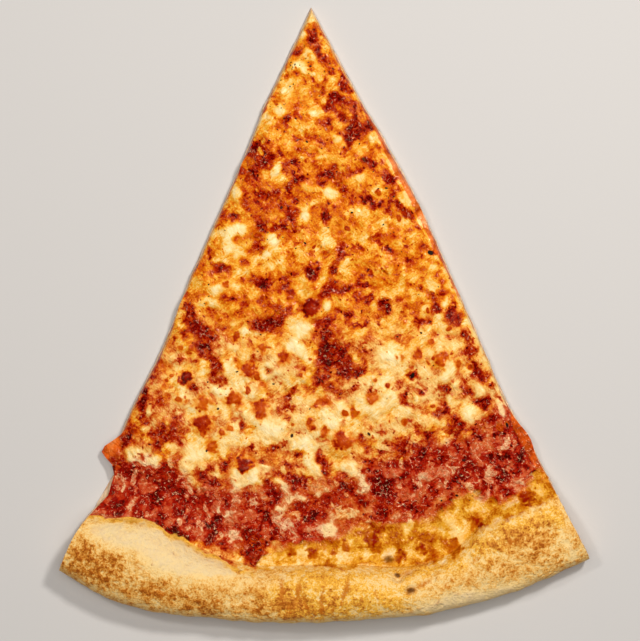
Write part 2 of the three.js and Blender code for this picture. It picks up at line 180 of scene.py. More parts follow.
# Where things lie on the slice, in millimetres to the right of its tip and down from it, looking down
# on it with the tip away: (right, down, half length, half width, turn in degrees, strength).
SAUCE_PATCHES = [
    (3.5, 17, 2.5, 1.5, 60, 0.8), (-11.5, 83, 2.5, 1.8, 0, 0.8), (7, 90, 4, 1.5, -10, 0.6),
    (-18.7, 89.5, 2.5, 2.5, 0, 0.8), (-11.4, 111.5, 3, 2.5, 0, 0.9), (-19, 119, 3, 2, 0, 0.8),
    (-41, 119.5, 2.5, 2.5, 0, 0.9), (-33, 134.5, 2.5, 2.5, 0, 0.7), (18, 134.5, 2.5, 2.5, 0, 0.8),
    (3.3, 141, 2.5, 2, 0, 0.6), (-11.4, 149, 2, 2, 0, 0.6), (50, 141, 3, 2.5, 0, 0.7),
    (-48.5, 157, 3, 2.5, 80, 0.9), (-55.5, 163, 2.5, 3, 0, 0.9), (-62, 184, 6, 4, 0, 1.1),
    (-57, 180, 4, 3.5, 0, 1), (-20, 190, 4, 5, 0, 1.2), (-26, 199.5, 3, 3, 0, 1), (18, 185, 3, 3, 0, 0.9),
    (8, 97, 3, 2, 0, 0.75), (40.5, 104.5, 2.5, 1.5, 60, 0.7), (40, 141.5, 2, 1.5, 0, 0.7),
    (0.5, 11.5, 4.8, 2.2, 60, 1.05), (-9.5, 24.5, 2.2, 1.1, 90, 0.8), (-5, 18, 2.2, 1.5, 80, 0.5),
    (5, 20.5, 2.2, 1.1, 20, 0.65), (7.5, 24.5, 1.8, 1.5, 40, 0.7), (11.5, 30, 2.2, 1.5, -10, 0.85),
    (5, 29, 1.8, 1.1, -20, 0.6), (3.5, 31.5, 1.1, 1.5, 0, 0.7), (8, 34, 2.9, 1.8, -20, 0.85),
    (13, 35, 2.6, 1.8, 10, 0.9), (6.5, 36.5, 1.5, 1.1, 60, 0.7), (16, 39, 2.9, 1.1, 95, 0.85),
    (16, 45, 4.4, 2.6, 110, 1.15), (14, 50.5, 2.6, 1.5, 100, 0.95), (12, 42.5, 2.2, 1.8, 0, 0.6),
    (22, 43.5, 2.6, 1.5, 80, 0.85), (20, 47, 2.9, 1.1, 70, 0.7), (25.5, 52.5, 3.3, 1.5, 0, 0.65),
    (20, 57, 2.2, 1.5, 0, 0.95), (-17.5, 52, 2.6, 1.8, 90, 0.85), (-21.5, 54, 3.3, 1.8, 95, 1.1),
    (-23.5, 61.5, 2.9, 2.2, -30, 1.05), (-18, 58, 3.3, 2.2, 30, 0.85), (-15, 55, 1.5, 1.5, 0, 0.85),
    (-9, 46.5, 1.8, 1.1, -20, 0.55), (-8.5, 41, 2.2, 1.1, -30, 0.6), (-3.5, 53.5, 2.6, 1.8, 30, 0.85),
    (-6.5, 57.5, 2.9, 1.1, -35, 0.7), (9, 60.5, 5, 2.2, -8, 0.95), (2.5, 63, 1.8, 1.5, 0, 0.4),
    (-8.5, 66, 3.2, 2.2, -12, 0.9), (-16, 70, 3.7, 2.2, 15, 0.95), (-11, 74, 2.2, 1.5, 0, 0.95),
    (11, 67.5, 3.7, 2.4, 60, 1), (-24.5, 74, 2.9, 1.8, 60, 0.75), (-30, 74.5, 2.2, 1.1, -60, 0.6),
    (-18, 79.5, 3.7, 1.8, 10, 0.8), (-7.5, 77.5, 4.4, 1.8, -15, 0.75), (-6.5, 82, 3.3, 1.8, 0, 0.85),
    (-20, 84, 3.3, 2.6, -20, 1.1), (28.5, 63.5, 2.6, 1.8, 60, 0.95), (29, 67.5, 1.8, 1.1, 20, 0.9),
    (32.5, 73, 4.4, 1.5, 60, 0.95), (35.5, 77, 2.9, 1.8, 60, 0.8), (29.5, 76.5, 2.9, 1.8, 90, 0.7),
    (35.5, 84, 2.6, 1.8, 0, 0.6), (5.5, 77.5, 2.2, 1.5, 100, 0.7), (15, 76.5, 1.5, 1, 0, 0.5),
    (20.5, 72, 1.8, 1.1, 0, 0.75), (-3, 88, 2.2, 1.1, -15, 0.7), (3.5, 87.5, 1.5, 1.5, 0, 0.65),
    (23, 85.5, 2.2, 1.1, -15, 0.65), (12, 92.5, 2.2, 1.8, -45, 0.8), (48, 93, 2.9, 1.5, 30, 0.9),
    (44.5, 91, 1.5, 1.1, 20, 1.25), (-1, 98, 3.3, 1.8, 80, 0.8), (-8.5, 100.5, 2.9, 1.8, -45, 0.7),
    (-33.5, 97, 3.3, 2.6, 30, 0.95), (6, 103.5, 2.6, 2.2, 0, 0.85), (8.5, 98, 1.1, 1.1, 0, 0.75),
    (-21.5, 101.5, 3.3, 1.5, 20, 0.6), (-23, 109, 2.9, 1.5, 100, 0.7), (-17, 109.5, 3.3, 1.5, 80, 0.8),
    (-16, 117, 5.1, 2.2, 0, 1.05), (-12, 115, 2.6, 2.6, 0, 0.85), (-45, 113, 4, 1.5, 80, 1),
    (-42.5, 117.5, 4.4, 1.8, 60, 0.95), (-38, 121.5, 3.7, 2.9, 40, 1.15), (-39.5, 127.5, 2.9, 1.8, 70, 1),
    (-36.5, 131, 3.3, 1.8, 50, 0.85), (-36, 136, 2.9, 2.2, 90, 0.75), (-47.5, 120, 3.7, 1.5, 60, 0.7),
    (-43.5, 141, 2.9, 1.8, 60, 0.75), (4.5, 124, 6.6, 1.8, 95, 1), (9, 125, 4.4, 3.3, 60, 1),
    (12.5, 131, 3.3, 2.2, 10, 1.15), (12.5, 136, 3.7, 1.8, -10, 0.85), (6.5, 131, 3.7, 2.6, 60, 0.9),
    (2, 135, 3.7, 2.6, 60, 0.75), (7.5, 140.5, 2.9, 1.8, 20, 0.75), (27, 110.5, 3.7, 2.2, 90, 0.85),
    (21.5, 107.5, 2.2, 1.1, 0, 0.8), (27.5, 98, 2.2, 1.8, 0, 0.75), (13, 113, 2.6, 1.5, 80, 0.7),
    (18.5, 127.5, 3, 2.2, 60, 0.85), (12.5, 104.5, 3.7, 2.2, 0, 0.6), (37.5, 136.5, 2.2, 1.1, 0, 1.3),
    (36.5, 143.5, 3.3, 1.5, 90, 0.9), (23, 139.5, 3.3, 1.8, -60, 0.7), (44.5, 107.5, 3.3, 1.5, 70, 0.7),
    (46.5, 112.5, 1.8, 1.5, 20, 0.9), (54.5, 116, 2.9, 1.8, -20, 0.85), (57, 122.5, 3.3, 1.8, 60, 0.8),
    (60, 127, 2.6, 2.2, 0, 0.95), (59.5, 132, 2.6, 1.5, 80, 1), (62, 136, 2.9, 1.8, 40, 0.95),
    (56, 142.5, 2.9, 1.8, -20, 0.8), (63.5, 147.5, 2.6, 1.8, -60, 0.95), (65, 152, 2.6, 1.5, 0, 0.9),
    (47.5, 150, 2.9, 1.8, 20, 0.7), (53, 157, 2.6, 2.2, 60, 0.9), (57, 163.5, 3.3, 2.9, 0, 1.15),
    (59, 169.5, 3.7, 2.9, 45, 1.05), (47.5, 165.5, 3.3, 2.2, 70, 0.85), (43, 157.5, 3, 2.4, 0, 0.8),
    (68.5, 160, 2.9, 2.2, 80, 0.9), (74, 170, 4, 2.6, -20, 1.05), (79.5, 171, 2.6, 1.8, 45, 0.9),
    (77.5, 159, 4.8, 2.2, 60, 0.95), (82.5, 165.5, 4.4, 1.8, 65, 0.75), (87, 176.5, 3.3, 1.5, 60, 0.7),
    (64.5, 177.5, 3.3, 2.6, 30, 0.95), (67.5, 182, 1.8, 1.5, 0, 1), (72.5, 178, 2.9, 1.5, -10, 0.85),
    (35.5, 162.5, 3.3, 2.6, 80, 1.1), (24.5, 170, 3.7, 2.9, 60, 0.9), (34, 170, 5.9, 2.2, 90, 0.95),
    (29, 177, 3.3, 2.6, 0, 1.1), (25, 182, 4.4, 2.2, 80, 1.2), (36.5, 180, 5.1, 3.3, 80, 1),
    (45, 180, 4.4, 2.6, 110, 0.9), (13.5, 177, 3.7, 2.9, 0, 1), (-5, 185, 2.9, 2.2, 70, 0.95),
    (-3, 174.5, 2.9, 2.2, 20, 0.8), (-9.5, 172, 2.6, 1.8, 0, 0.75), (-5, 164.5, 2.6, 1.8, 60, 0.9),
    (4.5, 167.5, 2.6, 1.5, 20, 0.7), (6, 171, 1.8, 1.5, 30, 0.8), (-16, 163, 2.9, 2.2, 60, 0.6),
    (-17, 193.5, 4, 3.3, -20, 1.2), (-19.5, 199, 6.5, 4, 80, 1.1), (-66, 177, 6, 3.5, 0, 1),
    (-77, 183, 5, 2.5, 10, 1), (-23.5, 199, 4.4, 2.2, 90, 1.15), (-14.5, 182, 3.3, 2.9, 0, 0.95),
    (-16.5, 176, 2.9, 2.2, 20, 0.95), (-26, 182.5, 3.7, 2.6, 0, 0.9), (-32.5, 169, 3.3, 1.5, 85, 0.8),
    (-25.5, 155, 2.9, 1.1, 95, 0.6), (-38, 184, 2.9, 2.2, 0, 0.85), (-44.5, 181, 3.3, 2.9, 60, 0.85),
    (-53.5, 172.5, 3.7, 2.6, 0, 1.1), (-52.5, 181, 5.1, 4.4, 30, 1.05), (-59, 186.5, 5.1, 2.6, 0, 1.1),
    (-69.5, 180, 5.1, 4.4, 0, 1), (-74.5, 174, 2.6, 3.3, 0, 1.1), (-77, 165, 3, 2.5, 0, 1.1),
    (-7.5, 193, 4.4, 2.6, 20, 0.8), (-12, 195.5, 2.9, 1.8, 0, 1), (-37, 196.5, 2.9, 2.2, 30, 0.8),
    (12.5, 186.5, 2.2, 1.8, 0, 0.7), (-61.5, 146, 6.6, 1.5, 100, 0.95), (-67.5, 157.5, 4, 1.5, 105, 0.85),
    (-54.5, 145, 3.3, 1.5, 90, 0.75), (-53.5, 156, 3.5, 2.3, 80, 1.1), (-58, 158, 2.9, 1.5, 0, 0.7),
    (-7.5, 142.5, 2.6, 1.8, -60, 0.8), (-7.5, 147.5, 2.2, 1.5, 30, 0.7), (-37, 171, 2.9, 1.5, 0, 0.55),
]
CREAM_POOLS = [
    (-18.7, 171, 3.5, 3, 0, 0.9), (-33.4, 171, 2.5, 2, 0, 0.7), (-25, 175, 4, 2.4, 0, 1),
    (-32, 186, 3, 3.4, 0, 0.8), (-28, 194, 2.4, 3, 0, 0.8), (-10, 184, 3.5, 2.6, 0, 0.8),
    (-46, 170, 4, 3, 0, 0.8), (-11.4, 177, 2.5, 3, 90, 0.7), (3.3, 177.5, 3, 2.5, 90, 0.8),
    (-26, 149, 3.5, 3, 0, 0.8), (18, 149, 3, 2.5, 0, 0.7), (4, 67.5, 2.5, 1.5, 0, 0.7),
    (25.5, 69, 2, 1.8, 60, 0.7), (-4, 9.5, 3.3, 1.5, 100, 0.9), (-1, 17.5, 2.9, 2.2, 10, 0.9),
    (-4, 23, 2.6, 2.2, 0, 0.8), (0.5, 25, 1.5, 1.1, 0, 1), (-10.5, 31, 2.2, 1.5, 0, 0.8),
    (12.5, 40, 2.2, 1.8, 0, 0.6), (9.5, 49, 2.9, 1.8, 20, 0.8), (22, 50.5, 2.6, 1.1, 60, 1),
    (27, 49.5, 2.9, 1.8, 70, 0.6), (-13, 61.5, 3.7, 1.8, -60, 1), (4.5, 56, 3.3, 1.1, -20, 0.9),
    (17, 62.5, 3.3, 1.8, 60, 0.8), (8.5, 69.5, 3.3, 1.5, 0, 0.7), (-2.5, 77.5, 2.6, 1.8, 60, 1),
    (0.5, 73.5, 2.6, 1.5, -30, 0.8), (-28.5, 68.5, 3.3, 2.2, 100, 0.7), (-30.5, 85.5, 4.4, 3.3, -60, 0.75),
    (-13, 85.5, 4.4, 2.6, -20, 0.95), (-34.5, 104.5, 3.3, 2.6, -30, 0.85),
    (-38.5, 109.5, 4.4, 2.6, 10, 0.9), (-27, 111.5, 2.2, 1.8, 0, 0.7), (-5, 111.5, 2.5, 1.2, 90, 0.6),
    (5.5, 109.5, 2.9, 1.5, 80, 1), (-3.5, 119.5, 4.4, 3.3, 30, 0.95), (-7.5, 125, 3.3, 2.6, 0, 0.8),
    (-29.5, 117, 2.9, 1.8, 0, 0.6), (-24, 120.5, 2.6, 1.8, 60, 0.9), (-19, 121, 2.2, 1.5, 0, 0.7),
    (-30, 125.5, 4, 2.2, 0, 0.8), (-2.5, 128, 3.7, 1.8, 50, 0.9), (-2, 137, 4.4, 1.8, 45, 0.9),
    (-14.5, 134, 5.1, 3.3, 0, 0.8), (-29, 132.5, 3.3, 2.2, 0, 0.9), (-32.5, 142, 5.1, 2.9, 0, 0.85),
    (-46.5, 146.5, 5.9, 3.3, 10, 0.9), (-59, 149.5, 3.3, 1.1, 95, 0.8), (-61.5, 156, 2.6, 2.2, 0, 0.8),
    (-65.5, 164.5, 3.3, 2.9, 90, 0.85), (-58.5, 166, 4.4, 2.9, 80, 0.8), (-14, 154.5, 6, 3.7, 10, 0.9),
    (-0.5, 164.5, 5.5, 2.6, 85, 1), (-25, 172.5, 4.8, 2.9, 0, 0.95), (-41, 164.5, 6.6, 3.7, 20, 0.9),
    (12.5, 147, 3.7, 2.9, 0, 0.9), (29, 129, 5.2, 3.2, 0, 0.85), (28.5, 146, 5.1, 4.4, 90, 0.8),
    (7, 154.5, 5.1, 2.9, 0, 0.8), (47.5, 133.5, 7.3, 4.4, 20, 0.75), (48.5, 119.5, 4.4, 3.3, 0, 0.7),
    (42, 143, 2.5, 2.5, 0, 0.6), (59, 149.5, 5.1, 4, 90, 0.75), (37, 149, 2.6, 2.2, 0, 0.8),
    (49.5, 109, 2.2, 1.8, 0, 0.9), (13, 169.5, 4, 3.3, 90, 0.85), (20, 177.5, 4.4, 2.6, 90, 0.75),
    (-28, 179, 3.3, 1.8, 0, 0.7), (-7.5, 181.5, 5.1, 2.2, 0, 0.7), (-32.5, 186.5, 2.9, 1.8, 0, 0.8),
    (7, 186.5, 4.4, 2.2, 90, 0.7), (27, 153.5, 3.3, 2.2, 0, 0.6), (50.5, 144.5, 3.3, 2.2, 60, 0.8),
    (35.5, 193, 3.3, 1.8, 90, 0.9), (51, 190, 3.7, 2.6, 0, 0.6), (69, 147.5, 5, 1.8, 62, 0.9),
    (-11.4, 38.6, 3, 2, 0, 0.7), (1, 38.5, 3.5, 1.8, 0, 0.6), (3.5, 53.5, 2.5, 1.5, 0, 0.7),
    (18, 68, 2.5, 2, 80, 0.8), (-2.5, 67, 2.5, 2.5, 80, 0.7), (18, 76.5, 2.5, 2, 0, 0.6),
    (12, 82.5, 3, 1.8, 0, 0.5), (-26, 82.5, 2.2, 2.5, 0, 0.8), (-29, 90, 4, 3, 0, 0.7),
    (-11.4, 95, 3.5, 3.5, 60, 0.9), (41, 112, 3.5, 3, 0, 0.6), (-17.5, 136.5, 3.5, 2.5, 0, 0.8),
    (62, 141.5, 2, 3, -20, 0.9), (-63, 166, 5, 3, 0, 0.9), (-17, 171.5, 4, 3, 0, 1),
    (2.5, 170.5, 3, 2.5, 0, 0.8), (18.5, 171, 3, 3, 0, 0.7), (52, 171, 4, 2, 0, 0.6),
    (5, 193, 6, 3, 0, 0.8), (-5, 201, 8, 2.2, 0, 0.8), (54.5, 197, 3.5, 5, 0, 0.7),
    (84, 178.5, 3.5, 2.5, 60, 0.8),
]
PINK_SHREDS = [
    (-45, 174.5, 5.9, 4.4, 60, 1), (-42.5, 186.5, 3.7, 2.9, 60, 0.9), (-52, 165.5, 4.1, 2, 95, 0.6),
    (-66.5, 176, 2.9, 2.6, 90, 0.8), (-29, 195.5, 2.9, 2.2, 60, 0.9), (-9, 190.5, 4, 3.3, 20, 0.9),
    (-20.5, 184, 2.9, 2.9, 0, 0.6), (9, 188, 4.4, 3.3, 90, 0.9), (14.5, 187.5, 2.9, 2.6, 0, 0.8),
    (27, 162.5, 3.3, 2.9, 0, 0.8), (38, 174, 3.7, 2.2, 90, 0.8), (49, 171, 5.9, 3.7, -30, 1),
    (47.5, 157.5, 4.8, 2.9, 0, 0.85), (61.5, 175.5, 3.4, 2.3, 60, 0.6), (67.5, 171, 2.4, 1.8, 0, 0.6),
    (71.5, 161.5, 2.2, 1.8, 90, 0.8), (77, 174.5, 2.4, 1.5, 0, 0.5), (38.5, 142, 2.9, 2.2, 60, 0.8),
    (-7.5, 147, 2.9, 2.2, 60, 0.8), (57, 132, 2.2, 1.5, 60, 0.7), (-26, 73.5, 4.4, 2.9, 60, 0.7),
    (-15, 78.5, 4.4, 2.9, 0, 0.7), (-18, 53.5, 2.9, 2.2, 90, 0.5), (-41.5, 102, 3.3, 2.2, 0, 0.5),
]
GOLD_POOLS = [
    (-29, 102, 2.9, 2.2, 0, 0.9), (-2.5, 152.5, 1.8, 1.5, 90, 1), (-13.5, 170, 2.2, 1.8, 90, 0.9),
    (16, 163.5, 2.6, 1.5, 60, 0.9), (10.5, 82, 14.7, 5.9, 0, 0.6), (-7.5, 37, 8.8, 5.1, 0, 0.6),
    (-16, 141, 2.9, 2.6, 0, 0.9), (25.5, 134.5, 2.2, 1.5, 0, 0.9), (50, 102.5, 5.1, 3.7, 60, 0.7),
    (-4, 33, 5.9, 3.3, 0, 0.6), (59, 149, 1.5, 1.5, 0, 0.8), (-59, 164.5, 2.2, 1.5, 60, 0.8),
    (-54.5, 178, 1.8, 1.5, 60, 0.7), (-72, 185, 2.6, 1.5, 20, 0.9), (-50, 184, 2.9, 1.5, 45, 0.8),
    (-41, 193.5, 8.8, 1.8, 15, 1), (-15, 199.5, 4.4, 3.3, 0, 0.9), (23.5, 192, 22, 3.7, -6, 0.7),
    (43.5, 193, 5.1, 4.4, 0, 0.8), (66, 186.5, 5.1, 2.2, 0, 0.7), (7, 200.5, 22, 3.3, 0, 0.5),
]
# Browned blisters: (right, down, radius, how browned).
BLISTERS = [
    (0, 111.5, 4.2, 1.3), (32.7, 203, 2.8, 0.8), (-7.5, 106.5, 2.4, 0.9), (-28, 144.5, 3.2, 0.6),
    (-18, 148.5, 3.6, 0.7), (-39.5, 146.5, 2.8, 0.4), (-39, 153.5, 3.6, 0.8), (-10, 129.5, 2.4, 0.8),
    (-27.5, 121.5, 2, 0.9), (-23, 134.5, 3.5, 0.8), (48, 130, 3, 0.5), (39.5, 128.5, 2.4, 0.7),
    (-24.5, 168.5, 3.6, 1.4), (12, 160, 3.9, 0.8), (79.5, 181, 3.6, 0.9), (60.5, 190.5, 3.2, 0.8),
    (52, 199.5, 3.6, 0.6), (22.5, 197, 3.8, 0.9), (13, 199, 2.6, 0.4), (40.5, 200.5, 2.6, 0.6),
    (45, 201.5, 2.2, 0.5), (1.5, 201.5, 2.9, 0.4), (-7.5, 200.5, 2.2, 0.4), (8, 201, 1.8, 0.3),
    (16, 150, 1.8, 0.4), (3.5, 146, 2.6, 0.35), (5, 157, 2.2, 0.5), (-46, 137, 2.9, 1.6),
    (-53.5, 132.5, 1.8, 0.5), (-36, 163, 2.6, 0.5), (-49, 144.5, 1.5, 0.6), (-48, 126, 1.5, 0.4),
    (-18, 126, 1.8, 0.4), (43.5, 123.5, 1.5, 0.5), (23, 145, 2.2, 0.4),
]
# Zones of the topping, as before but ending in their tone: 0 for white curd, 1 for char.
TONES = [
    (0, 3.5, 4.4, 4.4, 0, 0.36), (-2, 20, 8.8, 6.6, 0, 0.5), (12.5, 25.5, 9.2, 4.4, 60, 0.44),
    (-6, 37, 11, 5.5, 0, 0.34), (14.5, 42.5, 11, 7.3, 70, 0.57), (-7.5, 49.5, 9.2, 6.6, 0, 0.49),
    (-20.5, 59, 8.8, 5.1, 95, 0.66), (3.5, 59, 14.7, 5.1, 0, 0.56), (28.5, 57, 9.2, 4.4, 65, 0.44),
    (12.5, 71.5, 14.7, 5.1, 0, 0.52), (-14, 74, 13.2, 8, 0, 0.66), (-27, 86.5, 7.3, 5.1, 100, 0.48),
    (10.5, 85.5, 18.4, 6.6, 0, 0.49), (30, 77, 11, 5.5, 70, 0.58), (14.5, 99, 22, 8.8, 0, 0.53),
    (43, 103, 13.2, 8.1, 65, 0.4), (-22.5, 96.5, 12.5, 6.6, 0, 0.5), (-35.5, 105.5, 7.3, 6.6, 0, 0.52),
    (-26, 116.5, 16, 8.1, 0, 0.62), (-14, 112, 10, 6, 0, 0.52), (-30, 128, 16, 6, 0, 0.5),
    (25.5, 116, 14.7, 6.6, 0, 0.46), (7, 127, 12.5, 7.3, 90, 0.62), (-15, 133.5, 14.7, 8.1, 0, 0.38),
    (-30.5, 145, 18.4, 8.8, 0, 0.32), (-4, 146, 14.7, 6.6, 0, 0.33), (29, 132.5, 13.2, 8.1, 0, 0.31),
    (47.5, 127.5, 11, 7.3, 70, 0.36), (7, 156, 18.4, 8.8, 0, 0.33), (32.5, 149.5, 14.7, 6.6, 0, 0.34),
    (-41, 160, 14.7, 6.6, 0, 0.44), (-59, 150.5, 11.8, 5.1, 100, 0.62), (-68, 162, 6, 5, 0, 0.62),
    (60.5, 147, 5.5, 5.5, 0, 0.34), (61.5, 127, 11.8, 3.7, 65, 0.52), (-53.5, 178.5, 18.4, 8.1, 0, 0.86),
    (-26, 182, 14.7, 7.3, 0, 0.84), (-7.5, 178, 14.7, 7.3, 0, 0.77), (12.5, 178, 11, 8.8, 0, 0.74),
    (32.5, 175.5, 13.2, 9.6, 0, 0.85), (55, 167, 13.2, 11, 0, 0.84), (70, 173, 9, 6, 0, 0.9),
    (76, 160, 14, 5.9, 65, 0.86), (10.5, 199.5, 22, 4.4, 0, 0.8), (43.5, 193.5, 14.7, 5.9, 0, 0.82),
    (71.5, 186.5, 13.2, 4.4, -10, 0.8), (-39, 193.5, 11, 2.5, 15, 0.8), (-52, 187, 18, 4.5, 8, 0.97),
    (-10, 192, 14, 5, 0, 0.9), (-15, 198.5, 5.9, 5.1, 0, 0.5), (-66, 178, 14, 8, 0, 0.92),
    (0, 38.5, 9, 4, 0, 0.32), (19, 82, 10, 6.5, 0, 0.33), (-42, 172, 9, 4.5, 0, 0.52),
    (-24, 174, 8, 4.5, 0, 0.42), (8, 171, 9, 3.5, 0, 0.5), (-30, 187, 5, 4, 0, 0.7),
    (-9, 184, 5, 4, 0, 0.66),
]
# Where the skin of the rim is floury, tanned or soaked with oil.
FLOURY = [
    (28, 211, 9, 4, 0, 0.4), (-75.5, 193, 9.2, 5.1, 10, 0.9), (-59, 196.5, 12.9, 7.3, 10, 1),
    (-46.5, 204, 11, 8.1, 10, 1), (-36, 205.5, 8, 3.5, 15, 0.9), (-24.5, 208.5, 8.1, 3.7, 15, 0.6),
    (25.5, 212, 9.2, 3.7, 0, 0.5), (47.5, 218.5, 14.7, 3.7, -12, 0.9), (69.5, 215, 18.4, 4, -20, 0.9),
    (93.5, 198.5, 11, 2.2, 62, 0.9), (80.5, 182, 7.3, 2.9, 20, 0.6), (-41, 224, 22, 1.8, 8, 0.6),
    (-4, 226.5, 22, 1.5, 0, 0.6), (29, 224.5, 18.4, 1.8, -8, 0.7),
]
TANNED = [
    (-83, 204, 8.1, 7.3, 30, 1), (-73, 205.5, 7, 5.1, 0, 0.8), (-55.5, 215.5, 11.8, 5.5, 12, 0.7),
    (-59, 211.5, 5.1, 2.9, 0, 0.6), (-39, 220.5, 8.1, 4.4, 10, 0.85), (-22.5, 218, 7.3, 3.7, 0, 0.4),
    (-15, 221, 11, 3.3, 5, 0.5), (-7, 218.5, 5.1, 3.7, 80, 0.7), (-4, 220.5, 8.1, 4.4, 0, 0.6),
    (8, 218.5, 5.9, 2.9, 90, 0.6), (20, 220.5, 7.3, 2.9, 0, 0.4), (40, 218.5, 7.3, 2.9, -10, 0.3),
    (86, 199.5, 11, 6.6, 30, 0.5), (74, 195, 6.6, 3.7, 0, 0.8), (69.5, 204, 9.6, 4.8, 0, 0.45),
    (84, 189.5, 7.3, 2.9, 30, 0.5), (95, 209.5, 4.4, 2.9, -30, 0.5), (62, 198.5, 5.1, 2.9, 0, 0.4),
]
GOLDEN = [
    (14.5, 217.5, 20, 7.5, 0, 1.2), (-4, 217, 11, 7, 0, 0.95), (34.5, 207.5, 11, 7.3, 0, 0.4),
    (58.5, 198.5, 14.7, 5.9, 0, 0.85), (77, 189.5, 11, 4.4, 0, 0.9), (7, 207.5, 18.4, 3.7, 0, 0.4),
    (43.5, 204, 11, 4.4, 0, 0.8), (88, 186, 7, 2.5, 60, 0.7),
]
# Where the topping ends on the rim: (right, down, how softly it ends there).
FOOT = [
    (-85, 186.5, 0.6), (-80.5, 187.5, 0.6), (-75.5, 188, 0.6), (-68.5, 188, 0.6), (-61, 188.5, 0.6),
    (-57.5, 189.5, 0.6), (-54.5, 192, 0.7), (-52, 194.5, 0.7), (-48, 196, 0.7), (-44, 198, 0.7),
    (-41, 200, 0.7), (-37.5, 201.5, 0.7), (-34, 203, 0.7), (-30.5, 205, 0.8), (-26, 206.5, 0.8),
    (-20.5, 207.5, 0.9), (-17, 207, 1), (-11.5, 206, 1.2), (-4, 206, 1.2), (3.5, 206, 1.3),
    (11.5, 207, 1.4), (18, 206, 1.4), (27, 206, 1.6), (32.5, 207, 2.2), (40, 206, 3), (47.5, 205.5, 3.5),
    (54, 203, 4), (62, 193.5, 4), (69.5, 189.5, 4), (77, 186.5, 3.5), (84, 184, 3), (90, 181, 3),
]
# Where the sauce under the cheese ends, short of the rim: (right, down, how softly it ends there).
SAUCE_END = [
    (-90, 216, 1.7), (-25, 216, 1.7), (-18, 204, 2.55), (-11.5, 199.5, 3.4), (-4, 198.5, 4.25),
    (3.5, 197.5, 5.1), (12.5, 194, 5.1), (21.5, 191, 4.25), (31, 192, 3.4), (40, 189.5, 3.4),
    (47.5, 186.5, 4.25), (53, 182, 4.25), (57, 179.5, 4.25), (64.5, 181.5, 4.25), (69, 183, 4.25),
    (73.5, 180.5, 4.25), (78.5, 177, 5.1), (86, 171, 5.1),
]
# Where the thin golden cheese on the rim's foot has browned.
OCHRE_PATCHES = [
    (22.5, 192, 5, 2.5, 20, 0.9), (44.5, 193, 5, 4.5, 0, 0.9), (32, 199.5, 3, 2.5, 0, 0.8),
    (69.5, 193, 5, 2.2, -25, 0.95), (14.5, 202, 4, 2, 0, 0.5), (7, 200.5, 3, 2, 0, 0.4),
    (43, 200, 4, 3, 0, 0.8), (47.5, 204, 4, 2.5, -20, 0.5), (-15, 199.5, 4.4, 3.3, 0, 0.7),
    (76, 188, 4, 1.5, -20, 0.5),
]
# How wide a band lies along the left cut and the right one: (down, width). The pale band is partly painted
# light, standing for the lit cut sides and the bread edge that show from above; the stained band is oil
# that has run out.
PALE_EDGES = (
    [(24, 0), (30, 1.2), (47, 1.2), (52, 0), (98, 0), (104, 1.2), (118, 1), (124, 0)],
    [
        (20, 0), (28, 1), (48, 1), (56, 1.4), (72, 1.6), (84, 1), (96, 1.2), (120, 2), (132, 3.6),
        (146, 3.4), (151, 0),
    ],
)
STAINED_EDGES = (
    [(155, 0), (159, 3), (168, 4), (174, 0)],
    [(143, 0), (148, 2), (154, 4), (168, 4), (184, 3), (190, 0)],
)
# Dark flecks that lie loose on the topping: (right, down, half length).
HERBS = [
    (-0.2, 22.4, 0.6), (-7.7, 29.8, 0.4), (-5.6, 41.8, 0.5), (-9.9, 41.7, 0.45), (-1.5, 50.2, 0.6),
    (-15.5, 49.8, 0.4), (19.3, 56.5, 0.8), (24.7, 67.5, 0.6), (27.7, 67.3, 0.7), (30.4, 70.4, 0.5),
    (-10.9, 74.4, 0.8), (15, 76.3, 0.6), (6.4, 81.8, 0.5), (-9.8, 81.4, 0.4), (26.6, 80.7, 0.5),
    (30.4, 83.5, 0.4), (-22.7, 70.6, 0.4), (19.3, 34.5, 0.5), (-2.2, 87.5, 0.7), (-27.2, 134.8, 0.7),
    (-34.2, 148.4, 0.6), (-13.8, 139.3, 0.6), (-7, 158.3, 0.9), (-38.4, 163.9, 0.6), (-19.6, 127.3, 0.5),
    (-0.4, 148.4, 0.5), (37.4, 136.2, 1.4), (49.9, 141.3, 0.7), (72.1, 154.4, 1.1), (40.5, 120.5, 0.6),
    (31.8, 121.9, 0.6), (21.3, 157.7, 0.9), (56.4, 167.3, 1), (17.3, 136.2, 0.6), (44, 91, 1.3),
    (-49.2, 187.4, 1.2), (-65, 193, 0.5), (53.7, 180.4, 0.8),
]
# Small dents and nicks in the rim, which the finish also paints dark as painted shade.
DENTS = [
    (28.7, 204, 2.4, 2, 10, 1), (31.7, 209.6, 1.6, 1.1, 25, 1.1), (36, 214.3, 1.6, 1.3, -20, 1.1),
    (36.5, 206.8, 4.5, 1.1, -30, 0.4), (41, 211.5, 4.5, 1, -30, 0.3),
]
# Narrow folds and streaks where the skin of the rim has browned. The first three are the grooves that lead
# from the dents up to the right, where the crease colour is painted shade.
CREASES = [
    (29.5, 205, 3.5, 2.5, 20, 0.35), (36, 208, 4.5, 1.1, -27, 0.6), (41, 212.2, 4.5, 1, -27, 0.6),
    (12.3, 214.5, 5, 0.8, 105, 1), (-5, 216, 5, 1, 100, 0.9), (-2, 219, 4, 0.8, 75, 0.8),
    (4, 218.5, 4.5, 0.9, 95, 0.9), (8, 222, 3.5, 0.9, 85, 0.7), (-10.5, 214.5, 4, 1.2, 100, 0.8),
    (-8, 221, 3, 0.8, 80, 0.7), (1, 223, 3, 0.8, 100, 0.7), (24, 217, 4, 0.8, 70, 0.5),
    (16, 220, 3, 0.8, 80, 0.5), (-24, 216, 3.5, 1, 120, 0.5), (-33, 218, 3, 0.8, 60, 0.5),
    (-55, 214, 3, 1, 40, 0.6), (-62, 206, 3, 0.8, 30, 0.5), (60, 203, 3, 1, -60, 0.5),
    (72, 197, 3, 1.2, -30, 0.7), (50, 212, 3, 1, -50, 0.4),
]


def select_only(piece):
    bpy.ops.object.select_all(action="DESELECT")
    piece.select_set(True)
    bpy.context.view_layer.objects.active = piece


